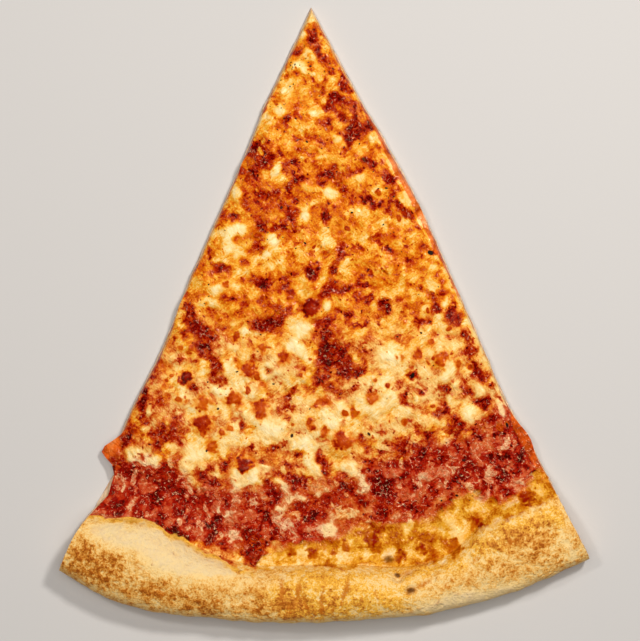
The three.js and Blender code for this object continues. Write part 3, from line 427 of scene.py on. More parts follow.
def copy_of_node(node_name, name):
    """A piece with the shape of a CAD node, with its loose triangles joined."""
    piece = bpy.data.objects.new(name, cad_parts[node_name].data.copy())
    bpy.context.scene.collection.objects.link(piece)
    piece.data.materials.clear()
    select_only(piece)
    bpy.ops.object.mode_set(mode="EDIT")
    bpy.ops.mesh.select_all(action="SELECT")
    bpy.ops.mesh.remove_doubles(threshold=0.01 * MM)
    bpy.ops.object.mode_set(mode="OBJECT")
    bpy.ops.mesh.customdata_custom_splitnormals_clear()
    return piece


def values_of(items, name, width=1, kind=float):
    """One property of every vertex, face or corner, as an array."""
    values = np.empty(len(items) * width, dtype=kind)
    items.foreach_get(name, values)
    return values.reshape(-1, width) if width > 1 else values


def places_of(piece):
    """Millimetres right of the tip and down from it, of each vertex."""
    spots = values_of(piece.data.vertices, "co", 3)
    return (spots[:, 0] - TIP.x) / MM, (TIP.y - spots[:, 1]) / MM


def cut_distances(right, down):
    """How far a place is inside the left cut and inside the right one."""
    from_left = right * math.cos(LEFT_CUT) + down * math.sin(LEFT_CUT)
    from_right = down * math.sin(RIGHT_CUT) - right * math.cos(RIGHT_CUT)
    return from_left, from_right


def from_cuts(right, down):
    """How far a place is inside the nearer of the two cuts."""
    return np.minimum(*cut_distances(right, down))


def top_faces(piece):
    return values_of(piece.data.polygons, "normal", 3)[:, 2] > FACING_UP


def divide(piece, chosen, cuts):
    """Cuts the chosen faces finer."""
    select_only(piece)
    bpy.context.tool_settings.mesh_select_mode = (False, False, True)
    bpy.ops.object.mode_set(mode="EDIT")
    bpy.ops.mesh.select_all(action="DESELECT")
    bpy.ops.object.mode_set(mode="OBJECT")
    piece.data.polygons.foreach_set("select", chosen)
    bpy.ops.object.mode_set(mode="EDIT")
    bpy.ops.mesh.subdivide(number_cuts=cuts)
    bpy.ops.object.mode_set(mode="OBJECT")


def inset_from_border(piece, chosen, rim_side=False):
    """How far each vertex of the chosen faces lies, in millimetres, from the edge of them all.

    With rim_side it is measured from the edge at the rim alone, and not from the cuts. It is -1
    for the vertices of other faces.
    """
    corners = values_of(piece.data.loops, "vertex_index", kind=np.int32)
    inside = np.repeat(chosen, values_of(piece.data.polygons, "loop_total", kind=np.int32))
    count = len(piece.data.vertices)
    within = np.bincount(corners[inside], minlength=count) > 0
    border = within & (np.bincount(corners[~inside], minlength=count) > 0)
    if rim_side:
        right, down = places_of(piece)
        border &= (from_cuts(right, down) > CUT_MARGIN) & (down > RIM_SIDE)
    tree = KDTree(int(border.sum()))
    for index in np.flatnonzero(border):
        tree.insert(piece.data.vertices[index].co, index)
    tree.balance()
    inset = np.full(count, -1.0)
    for index in np.flatnonzero(within):
        inset[index] = tree.find(piece.data.vertices[index].co)[2] / MM
    return inset


def weigh(piece, name, weights):
    """Keeps an amount from 0 to 1 for each vertex, for a modifier to go by."""
    group = piece.vertex_groups.new(name=name)
    for index, weight in enumerate(weights.tolist()):
        group.add((index,), weight, "REPLACE")
    return group.name


def finish_modifier(piece, modifier):
    select_only(piece)
    bpy.ops.object.modifier_apply(modifier=modifier.name)


def soften(piece, name, weights, rounds, upright=False):
    """Smooths the facets away where the weights allow it."""
    smooth = piece.modifiers.new(name, "SMOOTH")
    smooth.vertex_group = weigh(piece, name, weights)
    smooth.iterations = rounds
    smooth.use_x = smooth.use_y = not upright
    finish_modifier(piece, smooth)


def raise_surface(piece, name, rise, direction="Z"):
    """Lifts the surface by so many millimetres, and lowers it where they are negative."""
    for sign, side in ((1, "up"), (-1, "down")):
        part = np.clip(sign * rise, 0, None)
        if part.max() > 0:
            lift = piece.modifiers.new(f"{name}_{side}", "DISPLACE")
            lift.vertex_group = weigh(piece, lift.name, part / part.max())
            lift.direction = direction
            lift.mid_level = 0
            lift.strength = sign * part.max() * MM
            finish_modifier(piece, lift)


def thin_out(piece, below, inset, reach):
    """Thins a layer away towards its edge, over this many millimetres.

    The edge and the underside end up a little way inside what lies below, so that no gap shows.
    """
    select_only(below)
    under = BVHTree.FromObject(below, bpy.context.evaluated_depsgraph_get())
    hidden = (inset < 0) & (from_cuts(*places_of(piece)) > CUT_MARGIN)
    rise = np.zeros(len(inset))
    for index in np.flatnonzero(hidden | ((inset >= 0) & (inset < reach))):
        place = piece.data.vertices[index].co
        hit = under.ray_cast(place + Vector((0, 0, LIFT_OFF)), Vector((0, 0, -1)))[0]
        if hit is not None:
            gap = (place.z - hit.z) / MM
            if hidden[index]:
                rise[index] = min(0, -UNDERSIDE_DEPTH - gap)
            else:
                rise[index] = (-EDGE_DEPTH - gap) * (1 - smooth_step(0, reach, inset[index]))
    raise_surface(piece, "edge", rise)


def fine_layer(node_name, name, below, cuts, border, rounds, reach):
    """A layer of topping, finer than its solid, with its facets softened and its edge thinned out."""
    layer = copy_of_node(node_name, name)
    divide(layer, top_faces(layer), cuts)
    inset = inset_from_border(layer, top_faces(layer))
    soften(layer, "facets", np.clip(inset / border, 0, 1), rounds, upright=True)
    from_rim = inset_from_border(layer, top_faces(layer), rim_side=True)
    thin_out(layer, bpy.data.objects[below], from_rim, reach)
    return layer, inset


def paint(piece, name, amounts):
    """Gives each vertex an amount that a finish can read."""
    layer = piece.data.attributes.new(name, "FLOAT", "POINT")
    layer.data.foreach_set("value", np.asarray(amounts, dtype=np.float32))


def smooth_step(low, high, amounts):
    share = np.clip((amounts - low) / (high - low), 0, 1)
    return share * share * (3 - 2 * share)


def lumps(right, down, size, seed):
    """Smooth unevenness from -1 to 1, with lumps of this size in millimetres."""
    table = np.random.default_rng(seed).uniform(-1, 1, (LUMP_TABLE, LUMP_TABLE))
    across, along = (0.8 * right + 0.6 * down) / size, (0.8 * down - 0.6 * right) / size
    column, row = np.floor(across).astype(int), np.floor(along).astype(int)
    x, y = smooth_step(0, 1, across - column), smooth_step(0, 1, along - row)
    column, next_column, row, next_row = (k % LUMP_TABLE for k in (column, column + 1, row, row + 1))
    near = table[column, row] * (1 - x) + table[next_column, row] * x
    far = table[column, next_row] * (1 - x) + table[next_column, next_row] * x
    return near * (1 - y) + far * y


def wander(right, down, reach, seed):
    """Moves places about a little, so that round marks come out ragged."""
    shifts = [
        reach * (lumps(right, down, 4.5, seed + turn) + 0.5 * lumps(right, down, 1.6, seed + 10 + turn))
        for turn in (0, 1)
    ]
    return right + shifts[0], down + shifts[1]


def heap(marks, right, down):
    """How thickly these marks lie at each place: about 1 in the middle of one and 0 far from all."""
    thick = np.zeros(len(right))
    for across, along, half_length, half_width, turn, strength in marks:
        cosine, sine = math.cos(math.radians(turn)), math.sin(math.radians(turn))
        u = ((right - across) * cosine + (down - along) * sine) / half_length
        v = ((down - along) * cosine - (right - across) * sine) / half_width
        thick += strength * np.exp(-MARK_FADING * (u * u + v * v))
    return thick


def zone_tone(right, down):
    """How browned or red the topping is in general: 0 for white curd, 1 for char."""
    total, weight = np.full(len(right), PLAIN_TONE * PLAIN_WEIGHT), np.full(len(right), PLAIN_WEIGHT)
    for zone in TONES:
        share = heap([zone[:5] + (1,)], right, down)
        total, weight = total + share * zone[5], weight + share
    return total / weight


def blister_domes(right, down, blisters):
    """How high each place is on a blister, from 0 at its edge to 1, and how browned that blister is.

    It is below 0 off the blisters, down to -1 as far from the edge as the blister's radius.
    """
    dome, done = np.full(len(right), -1.0), np.zeros(len(right))
    for across, along, radius, browning in blisters:
        away = np.hypot(right - across, down - along) / radius
        height = 1 - away
        nearer = height > dome
        dome[nearer], done[nearer] = height[nearer], browning
    return dome, done


def all_blisters():
    """The large blisters and many small ones scattered between them."""
    spread = random.Random(31)
    small = []
    while len(small) < SMALL_BLISTERS:
        down = spread.uniform(*BLISTER_BAND)
        reach = down * math.tan(spread.uniform(-LEFT_CUT, RIGHT_CUT))
        crowd = 0.15 + 0.85 * math.exp(-(((down - CROWDED) / CROWD_SPREAD) ** 2))
        if spread.random() < crowd:
            small.append((reach, down, spread.uniform(0.5, 1.5), spread.uniform(0.2, 0.9)))
    return BLISTERS + small


def along_cuts(right, down, left_widths, right_widths):
    """How much of what has run out in a band along the cuts there is."""
    shares = []
    for away, widths in zip(cut_distances(right, down), (left_widths, right_widths)):
        down_there, width = np.array(widths).T
        width = np.interp(down, down_there, width)
        shares.append(1 - smooth_step(0.55, 1.15, away / np.maximum(width, 0.01)))
    return np.maximum(*shares)


def beyond_line(line, right, down):
    """How far each place is beyond a line across the slice, and how softly things end there."""
    across, along, softness = np.array(line).T
    return down - np.interp(right, across, along), np.interp(right, across, softness)


def foot_fields(right, down):
    """Where the bread is covered, where the sauce ends, and where oil has run along the edge."""
    ragged = wander(right, down, 0.8, 95)
    beyond, softness = beyond_line(FOOT, *ragged)
    line = np.exp(-(((beyond - 0.4) / 1.5) ** 2)) * smooth_step(0, 10, -14 - right)
    past_sauce, ending = beyond_line(SAUCE_END, *ragged)
    film = smooth_step(-1, 1, past_sauce / ending)
    return {"cover": smooth_step(-1, 1, -beyond / softness), "oil_line": line, "film": film}


def melted_shreds():
    """Short shreds of pale cheese that have half melted into the sauce."""
    draw = random.Random(53)
    shreds = []
    for across, along, length, _, turn, strength in PINK_SHREDS:
        for _ in range(SHREDS_IN_A_PLACE):
            place = across + 0.75 * length * draw.gauss(0, 1), along + 0.75 * length * draw.gauss(0, 1)
            size = draw.uniform(0.9, 2.4), draw.uniform(0.5, 0.95)
            shreds.append((*place, *size, turn + draw.gauss(0, 28), strength * draw.uniform(0.6, 1.2)))
    while len(shreds) < SHREDS_IN_ALL:
        down = draw.uniform(*SHRED_BAND)
        right = down * math.tan(draw.uniform(-LEFT_CUT, RIGHT_CUT))
        size = draw.uniform(0.9, 2.2), draw.uniform(0.6, 1.3)
        shreds.append((right, down, *size, 80 + draw.gauss(0, 35), draw.uniform(0.4, 1)))
    return shreds


def paint_all(piece):
    """Works out what lies where on a piece, and paints it on."""
    right, down = places_of(piece)
    ragged = wander(right, down, 1.1, 5)
    gentle = wander(right, down, 0.5, 25)
    dome, done = blister_domes(*wander(right, down, 0.8, 25), all_blisters())
    fields = {
        "tone": zone_tone(*wander(right, down, 3.5, 45)),
        "sauce_patch": heap(SAUCE_PATCHES, *ragged),
        "cream_pool": heap(CREAM_POOLS, *ragged),
        "shred_zone": heap(PINK_SHREDS, *ragged),
        "gold_pool": heap(GOLD_POOLS, *ragged),
        "floury": heap(FLOURY, *ragged),
        "tanned": heap(TANNED, *ragged),
        "golden": heap(GOLDEN, *ragged),
        "dent": heap(DENTS, *gentle),
        "crease": heap(CREASES, *gentle),
        "pale_edge": along_cuts(*gentle, *PALE_EDGES),
        "stained_edge": along_cuts(*gentle, *STAINED_EDGES),
        "ochre": heap(OCHRE_PATCHES, *ragged),
        "milky": smooth_step(*MILKY, ragged[1] + 8 * lumps(right, down, 7, 91)),
        "shred": heap(melted_shreds(), *gentle),
        "blister": dome,
        "browning": done,
        # The relief lifts the cheese, and the finish also reads it to paint shade into the hollows between
        # the lumps.
        "relief": 0.6 * lumps(right, down, 4.2, 81) + 0.4 * lumps(right, down, 2.1, 82),
        **foot_fields(right, down),
    }
    for name, amounts in fields.items():
        paint(piece, name, amounts)
    return right, down, fields


class Amount:
    """A number that a finish works out at each point. It is used in sums as plain numbers are."""

    def __init__(self, finish, socket):
        self.finish, self.socket = finish, socket

    def maths(self, operation, first, second):
        return self.finish.maths(operation, first, second)

    def __add__(self, other):
        return self.maths("ADD", self, other)

    def __sub__(self, other):
        return self.maths("SUBTRACT", self, other)

    def __rsub__(self, other):
        return self.maths("SUBTRACT", other, self)

    def __mul__(self, other):
        return self.maths("MULTIPLY", self, other)

    def __pow__(self, other):
        return self.maths("POWER", self, other)

    __radd__, __rmul__ = __add__, __mul__

    def at_least(self, other):
        return self.maths("MAXIMUM", self, other)

    def between(self, low, high):
        """0 below low, 1 above high, and a smooth rise between them."""
        inputs = {0: self, 1: low, 2: high}
        return self.finish.node("ShaderNodeMapRange", {"interpolation_type": "SMOOTHSTEP"}, inputs)


class Finish:
    """A material, built up from nodes."""

    def __init__(self, name):
        self.material = bpy.data.materials.new(name)
        self.material.use_nodes = True
        self.tree = self.material.node_tree
        self.shader = self.tree.nodes["Principled BSDF"]
        place = self.node("ShaderNodeTexCoord", output="Object")
        settings = {"operation": "MULTIPLY_ADD"}
        inputs = {0: place, 1: (1 / MM,) * 3, 2: NOISE_START}
        self.place = self.node("ShaderNodeVectorMath", settings, inputs)
        inputs = {"Vector": self.place, "Scale": 0.45, "Detail": 1}
        sway = self.node("ShaderNodeTexNoise", {}, inputs, "Color")
        self.swayed = self.node("ShaderNodeVectorMath", settings, {0: sway, 1: (2.4,) * 3, 2: self.place})

    def node(self, kind, settings={}, inputs={}, output=0):
        node = self.tree.nodes.new(kind)
        for name, value in settings.items():
            if name == "stops":
                while len(node.color_ramp.elements) < len(value):
                    node.color_ramp.elements.new(1)
                for element, (position, tint) in zip(node.color_ramp.elements, value):
                    element.position, element.color = position, (*tint, 1)
            else:
                setattr(node, name, value)
        for name, value in inputs.items():
            self.feed(node.inputs[name], value)
        return Amount(self, node.outputs[output])

    def maths(self, operation, first, second):
        return self.node("ShaderNodeMath", {"operation": operation}, {0: first, 1: second})

    def feed(self, socket, value):
        if isinstance(value, Amount):
            self.tree.links.new(value.socket, socket)
        elif isinstance(value, (int, float)) or len(socket.default_value) == len(value):
            socket.default_value = value
        else:
            socket.default_value = (*value, 1)

    def set(self, **inputs):
        """Sets the finish's own values, such as base_color or roughness."""
        for name, value in inputs.items():
            self.feed(self.shader.inputs[name.replace("_", " ").title().replace("Ior", "IOR")], value)

    def read(self, name):
        """What was painted on the piece under this name."""
        return self.node("ShaderNodeAttribute", {"attribute_name": name}, output="Fac")

    def uneven(self, size, detail=2, place=None):
        """Noise about 0, with lumps of this size in millimetres."""
        inputs = {"Vector": place or self.place, "Scale": 1 / size, "Detail": detail, "Roughness": 0.55}
        return self.node("ShaderNodeTexNoise", {}, inputs) * 2 - 1

    def fibres(self, turn, length, width):
        """Noise about 0, drawn out into bent fibres that lie at this turn, in degrees."""
        inputs = {0: self.swayed, 2: (0, 0, math.radians(turn)), 3: (length, width, 1)}
        return self.uneven(1, 0, self.node("ShaderNodeMapping", {"vector_type": "TEXTURE"}, inputs))

    def spots(self, size, softness=1.0):
        """Rounded patches of this size, each with its own amount from -1 to 1, with soft edges."""
        inputs = {"Vector": self.swayed, "Scale": 1 / size, "Smoothness": softness}
        tint = self.node("ShaderNodeTexVoronoi", {"feature": "SMOOTH_F1"}, inputs, "Color")
        return self.node("ShaderNodeSeparateColor", {}, {0: tint}) * 2 - 1

    def strands(self, size, width):
        """Thin winding lines: 1 along each, and 0 beyond its width."""
        away = self.maths("ABSOLUTE", self.uneven(size, 1), 0)
        return 1 - away.between(0, width)

    def grains(self, size, place=None):
        """Rounded grains of this size: 1 at the top of each, falling off round it."""
        inputs = {"Vector": place or self.place, "Scale": 1 / size}
        away = self.node("ShaderNodeTexVoronoi", {}, inputs, "Distance")
        return 1 - away * away

    def mix(self, share, under, over):
        inputs = {0: share, 6: under, 7: over}
        return self.node("ShaderNodeMix", {"data_type": "RGBA"}, inputs, 2)

    def blend(self, share, under, over):
        """One amount passing into another."""
        return self.node("ShaderNodeMix", {"data_type": "FLOAT"}, {0: share, 2: under, 3: over})

    def ramp(self, amount, stops):
        return self.node("ShaderNodeValToRGB", {"stops": stops}, {0: amount})

    def relief(self, height):
        """Turns a height in millimetres into the surface's fine relief."""
        inputs = {"Distance": MM, "Height": height, "Strength": 1}
        self.set(normal=self.node("ShaderNodeBump", {}, inputs))


def melted_colour(finish, topping):
    """The topping's colour, roughness and fine height, from what was painted on the piece."""
    broad, ragged = finish.uneven(9, 1), finish.uneven(3.6, 1.5)
    fine, speckle = finish.uneven(1.5, 1), finish.uneven(0.6, 0)
    blob, dot = finish.spots(3.4), finish.spots(1.9)
    mottled = ragged * 0.2 + blob * 0.24 + fine * 0.1 + dot * 0.12
    pale_strand, dark_strand = finish.strands(2.2, 0.1), finish.strands(2.6, 0.08)
    steep, flat = finish.fibres(35, 3.5, 0.5), finish.fibres(-50, 3, 0.55)
    threads = finish.blend(broad.between(-0.1, 0.1), steep, flat)
    pores = finish.grains(2.6, finish.swayed).between(0.955, 0.99) * (ragged + broad).between(-0.25, 0.25)

    # Where each kind of mark lies, with ragged edges. The relief also moves them as painted shade and
    # light: sauce patches reach further into the hollows between the lumps, and cream pools further onto
    # their tops.
    relief, past_sauce = finish.read("relief"), finish.read("film")
    patch = (finish.read("sauce_patch") + mottled * 1.2 - relief * 0.3).between(-0.15, 0.9)
    pool = (finish.read("cream_pool") + mottled + relief * 0.3).between(0.15, 0.8)
    gold = (finish.read("gold_pool") + mottled).between(0.1, 1.0)
    # Partly painted light: the pale band along the cuts stands for the lit cut sides and the bread edge,
    # seen from above.
    edge = (finish.read("pale_edge") + fine * 0.4 + ragged * 0.3).between(0.3, 0.8)
    film = (past_sauce + mottled * past_sauce.between(0, 0.3) * 1.4).between(0.15, 0.75)
    blushing = (finish.read("shred_zone") + mottled * 1.6).between(0.2, 0.85)
    shred = (finish.read("shred") + fine * 0.6 + ragged * 0.5 + dot * 0.3).between(0.25, 0.85)
    stain = (finish.read("stained_edge") + mottled).between(0.25, 0.75)
    browned_spot = (blob * 0.7 + dot * 0.6 + broad * 0.5).between(0.15, 0.75)
    reddish = finish.read("tone").between(0.58, 0.8)
    milk = (ragged * 0.5 - blob * 0.8 - dot * 0.6 - broad * 0.3).between(0.1, 0.75)
    # Painted shade: the sauce is a little darker where the lumps sink.
    sauce = 0.84 + fine * 0.1 + dot * 0.08 + broad * 0.1 + speckle * 0.05 - relief * 0.1

    # How browned or red the topping is: 0 for white curd, 1 for char. It is painted darker in the hollows
    # between the lumps and paler on their tops, as painted shade.
    tone = finish.read("tone") + 0.02 + broad * 0.14 + mottled * 0.78 + speckle * 0.13 - relief * 0.15
    tone = tone.at_least(0.12 + fine * 0.1) + browned_spot * 0.24
    tone = finish.blend(gold * 0.8, tone, 0.38 + mottled * 0.4)
    tone = finish.blend(edge * 0.8, tone, 0.27 + mottled * 0.4)
    tone = finish.blend(pool * 0.9, tone, 0.07 + mottled * 0.2)
    tone = finish.blend(patch, tone, sauce)
    tone = finish.blend(blushing * 0.45, tone, 0.45 + mottled * 0.6)
    tone = finish.blend(shred * 0.75, tone, 0.24 + fine * 0.2 + speckle * 0.1)
    tone = tone - pale_strand * 0.1 * tone + dark_strand * 0.14 * tone + threads * 0.15 + pores * 0.36
    tone = finish.blend(milk * reddish * 0.65, tone, 0.36 + fine * 0.16)

    # How browned the thin golden cheese at the rim is, in the same way.
    browning = finish.read("ochre") * 0.4 + 0.48 + broad * 0.6 + blob * 0.25 + ragged * 0.4 + fine * 0.2
    browning = finish.blend(pool * 0.6, browning + threads * 0.14 + speckle * 0.16, 0.15 + fine * 0.1)

    # Each blister has a pale halo, a toasted inside and a centre that is a little paler again.
    dome = finish.read("blister") + fine * 0.4 + ragged * 0.35 + dot * 0.2 - 0.05
    halo, inside, centre = dome.between(-0.7, -0.1), dome.between(-0.4, 0.4), dome.between(0.3, 0.9)
    toasted = inside * (finish.read("browning") * 0.26 + 0.5 + fine * 0.14 + dot * 0.12) - centre * 0.1
    tone = finish.blend((halo - inside) * (1 - reddish) * 0.4, tone, 0.34 + fine * 0.1).at_least(toasted)
    scorched = toasted * 1.15 + centre * (0.32 + dot * 0.1) + fine * inside * 0.1
    browning = browning.at_least(scorched)

    # The colours that these stand for.
    red_end = [(0.84, topping.tomato), (0.96, topping.dark)]
    plain = [(0.02, topping.curd), (0.17, topping.cream), (0.34, topping.gold), (0.5, topping.orange)]
    milky = [(0.04, topping.curd), (0.23, topping.cream), (0.41, topping.peach), (0.56, topping.blush)]
    rosy = [(0.05, topping.cream), (0.26, topping.shred), (0.45, topping.rose), (0.62, topping.ruby)]
    stained = [(0.2, topping.stain), (0.9, topping.tomato)]
    golden = [(0.02, topping.curd), (0.2, topping.cream), (0.42, topping.film), (0.66, topping.ochre)]
    blistered = [(0.36, topping.toast), (0.58, topping.toast_edge), (0.76, topping.scorch)]
    rusty_end = [(0.71, topping.rust)] + red_end
    milkiness = finish.read("milky") * (broad * 0.9 + blob * 0.3).between(-0.5, 0.3) * (1 - halo * 0.7)
    # Painted highlight: thin winding threads where the painted glint colour goes, mostly over the red
    # sauce.
    painted_glint = finish.strands(1.6, 0.05) * finish.uneven(1.3, 0).between(0, 0.25)
    tint = finish.ramp(tone, plain + rusty_end)
    tint = finish.mix(milkiness * 0.85, tint, finish.ramp(tone, milky + rusty_end))
    tint = finish.mix(reddish * (1 - inside) * 0.9, tint, finish.ramp(tone, rosy + red_end))
    tint = finish.mix(stain * 0.85, tint, finish.ramp(0.5 + mottled * 1.4, stained))
    tint = finish.mix(painted_glint * reddish.at_least(patch * 0.6) * 0.85, tint, topping.painted_glint)
    tint = finish.mix(film, tint, finish.ramp(browning, golden + [(0.98, topping.scorch)]))
    toast = finish.ramp(toasted, blistered + [(0.95, topping.char)])
    tint = finish.mix(inside * (1 - film * 0.7) * 0.6, tint, toast)

    # Sauce is wet and pulpy, and cheese is smoother.
    rough = finish.blend(patch, 0.17 + fine * 0.07, 0.08 + fine * 0.03)
    wet = finish.read("sauce_patch").between(0.1, 0.8).at_least(finish.read("tone").between(0.5, 0.8))
    pulp = finish.grains(2.1) * 0.4 + finish.uneven(1.3, 0) * 0.25 + finish.uneven(0.8, 0) * 0.25
    pulp = pulp + pale_strand * 0.16
    height = finish.blend(wet * (1 - past_sauce), fine * 0.12 + pale_strand * 0.05, pulp)
    return tint, rough, ragged * 0.25 + height + threads * 0.1


def skin_colour(finish, bread):
    """The baked skin's colour, roughness and fine height."""
    broad, mottled = finish.uneven(12, 2), finish.uneven(4, 3)
    freckle, grain = finish.uneven(1.7, 3), finish.uneven(0.75, 1) + finish.uneven(0.42, 0) * 0.5
    flour = (finish.read("floury") + mottled * 0.5 + freckle * 0.2).between(0.2, 0.9)
    tan = (finish.read("tanned") + mottled * 0.6 + freckle * 0.2).between(0.1, 1.0)
    gold = (finish.read("golden") + mottled * 0.5 + freckle * 0.2).between(0.1, 0.9)
    dusted = (finish.read("floury") + mottled * 0.3 + freckle * 0.15).between(0.75, 1.15)
    crease = (finish.read("crease") + freckle * 0.5 + grain * 0.2).between(0.1, 0.8)
    oily = (finish.read("oil_line") + mottled * 0.9 + freckle * 0.4 + grain * 0.2).between(0.3, 1.1)
    baked = 0.3 + broad * 0.18 + mottled * 0.38 + freckle * (tan * 0.35 + 0.5) + grain * 0.42
    baked = baked + tan * 0.34 - flour * 0.2

    dry = [(0.05, bread.flour), (0.32, bread.pale), (0.6, bread.tan), (0.9, bread.brown)]
    oiled = [(0.08, bread.flour), (0.3, bread.golden), (0.62, bread.tan), (0.95, bread.brown)]
    oil_line = [(0.15, bread.golden), (0.6, bread.oil)]
    tint = finish.ramp(baked, dry)
    tint = finish.mix(dusted * (0.55 + freckle * 0.6 + grain * 0.45), tint, bread.dusting)
    tint = finish.mix(gold * 0.85, tint, finish.ramp(baked, oiled))
    # The crease colour: browning in the narrow folds, and painted shade in the grooves by the dents.
    tint = finish.mix(crease * 0.8, tint, bread.crease)
    tint = finish.mix(oily * 0.9, tint, finish.ramp(baked, oil_line))
    height = (mottled * 0.8 + freckle * 0.9 + grain * 0.25) * (bread.skin_height / MM)
    return tint, 0.62 - gold * 0.2 + freckle * 0.1, height


def topped_material(name, bread, topping):
    """Melted topping that gives way to baked skin at the rim."""
    finish = Finish(name)
    cover = (finish.read("cover") + finish.uneven(1.6, 2) * 0.3).between(0.25, 0.75)
    skin, melted = skin_colour(finish, bread), melted_colour(finish, topping)
    # Painted shade at the dents: a soft ring of the oil colour round each one, and the dark dent colour
    # deep in it, which is partly scorch as well.
    dent = finish.read("dent") + finish.uneven(1.6, 2) * 0.25
    shaded = finish.mix(dent.between(0.05, 0.8) * 0.6, finish.mix(cover, skin[0], melted[0]), bread.oil)
    dent = dent.between(0.5, 1.1)
    finish.set(base_color=finish.mix(dent * 0.85, shaded, bread.dent_shade_and_scorch))
    finish.set(roughness=finish.blend(cover, skin[1], melted[1]), specular_ior_level=0.24)
    finish.set(specular_tint=(1, 0.72, 0.48))
    finish.relief(finish.blend(cover, skin[2], melted[2]) - dent * 0.4)
    return finish.material


def crumb_material(bread):
    """The torn crumb of the cut sides, darker where it meets the skin and the baking stone."""
    finish = Finish("cut_crumb")
    holes, torn = finish.grains(2.2).between(0.35, 0.75), finish.uneven(1.0, 3)
    crust_line = (finish.read("crust_line") + torn * 0.3).between(0.35, 0.8)
    baked = 0.5 - holes * 0.3 + torn * 0.2
    tint = finish.ramp(baked, [(0.3, bread.crumb), (0.95, bread.pale)])
    finish.set(base_color=finish.mix(crust_line, tint, bread.tan), roughness=0.75)
    finish.relief(holes * 0.5 + torn * 0.25)
    return finish.material


def stone_baked_material(bread):
    """The underside, which browned on the baking stone."""
    finish = Finish("stone_baked")
    broad, mottled, freckle = finish.uneven(18, 3), finish.uneven(5, 4), finish.uneven(1.2, 3)
    baked = 0.52 + broad * 0.3 + mottled * 0.35 + freckle * 0.2
    stops = [(0.1, bread.flour), (0.4, bread.pale), (0.62, bread.tan), (0.9, bread.brown)]
    finish.set(base_color=finish.ramp(baked, stops), roughness=0.8)
    finish.relief(mottled * 0.15 + freckle * 0.12)
    return finish.material


def herb_material():
    """Dried and scorched leaf, from olive brown to nearly black."""
    finish = Finish("dried_herb")
    mottled, grain = finish.uneven(6, 1), finish.uneven(0.5, 1)
    tints = dye(16, 6, 2), dye(52, 18, 4), dye(96, 54, 14)
    stops = list(zip((0.3, 0.6, 0.95), tints))
    finish.set(base_color=finish.ramp(0.5 + mottled * 0.9 + grain * 0.3, stops))
    finish.set(roughness=0.6 + grain * 0.1, specular_ior_level=0.2)
    finish.relief(grain * 0.1)
    return finish.material


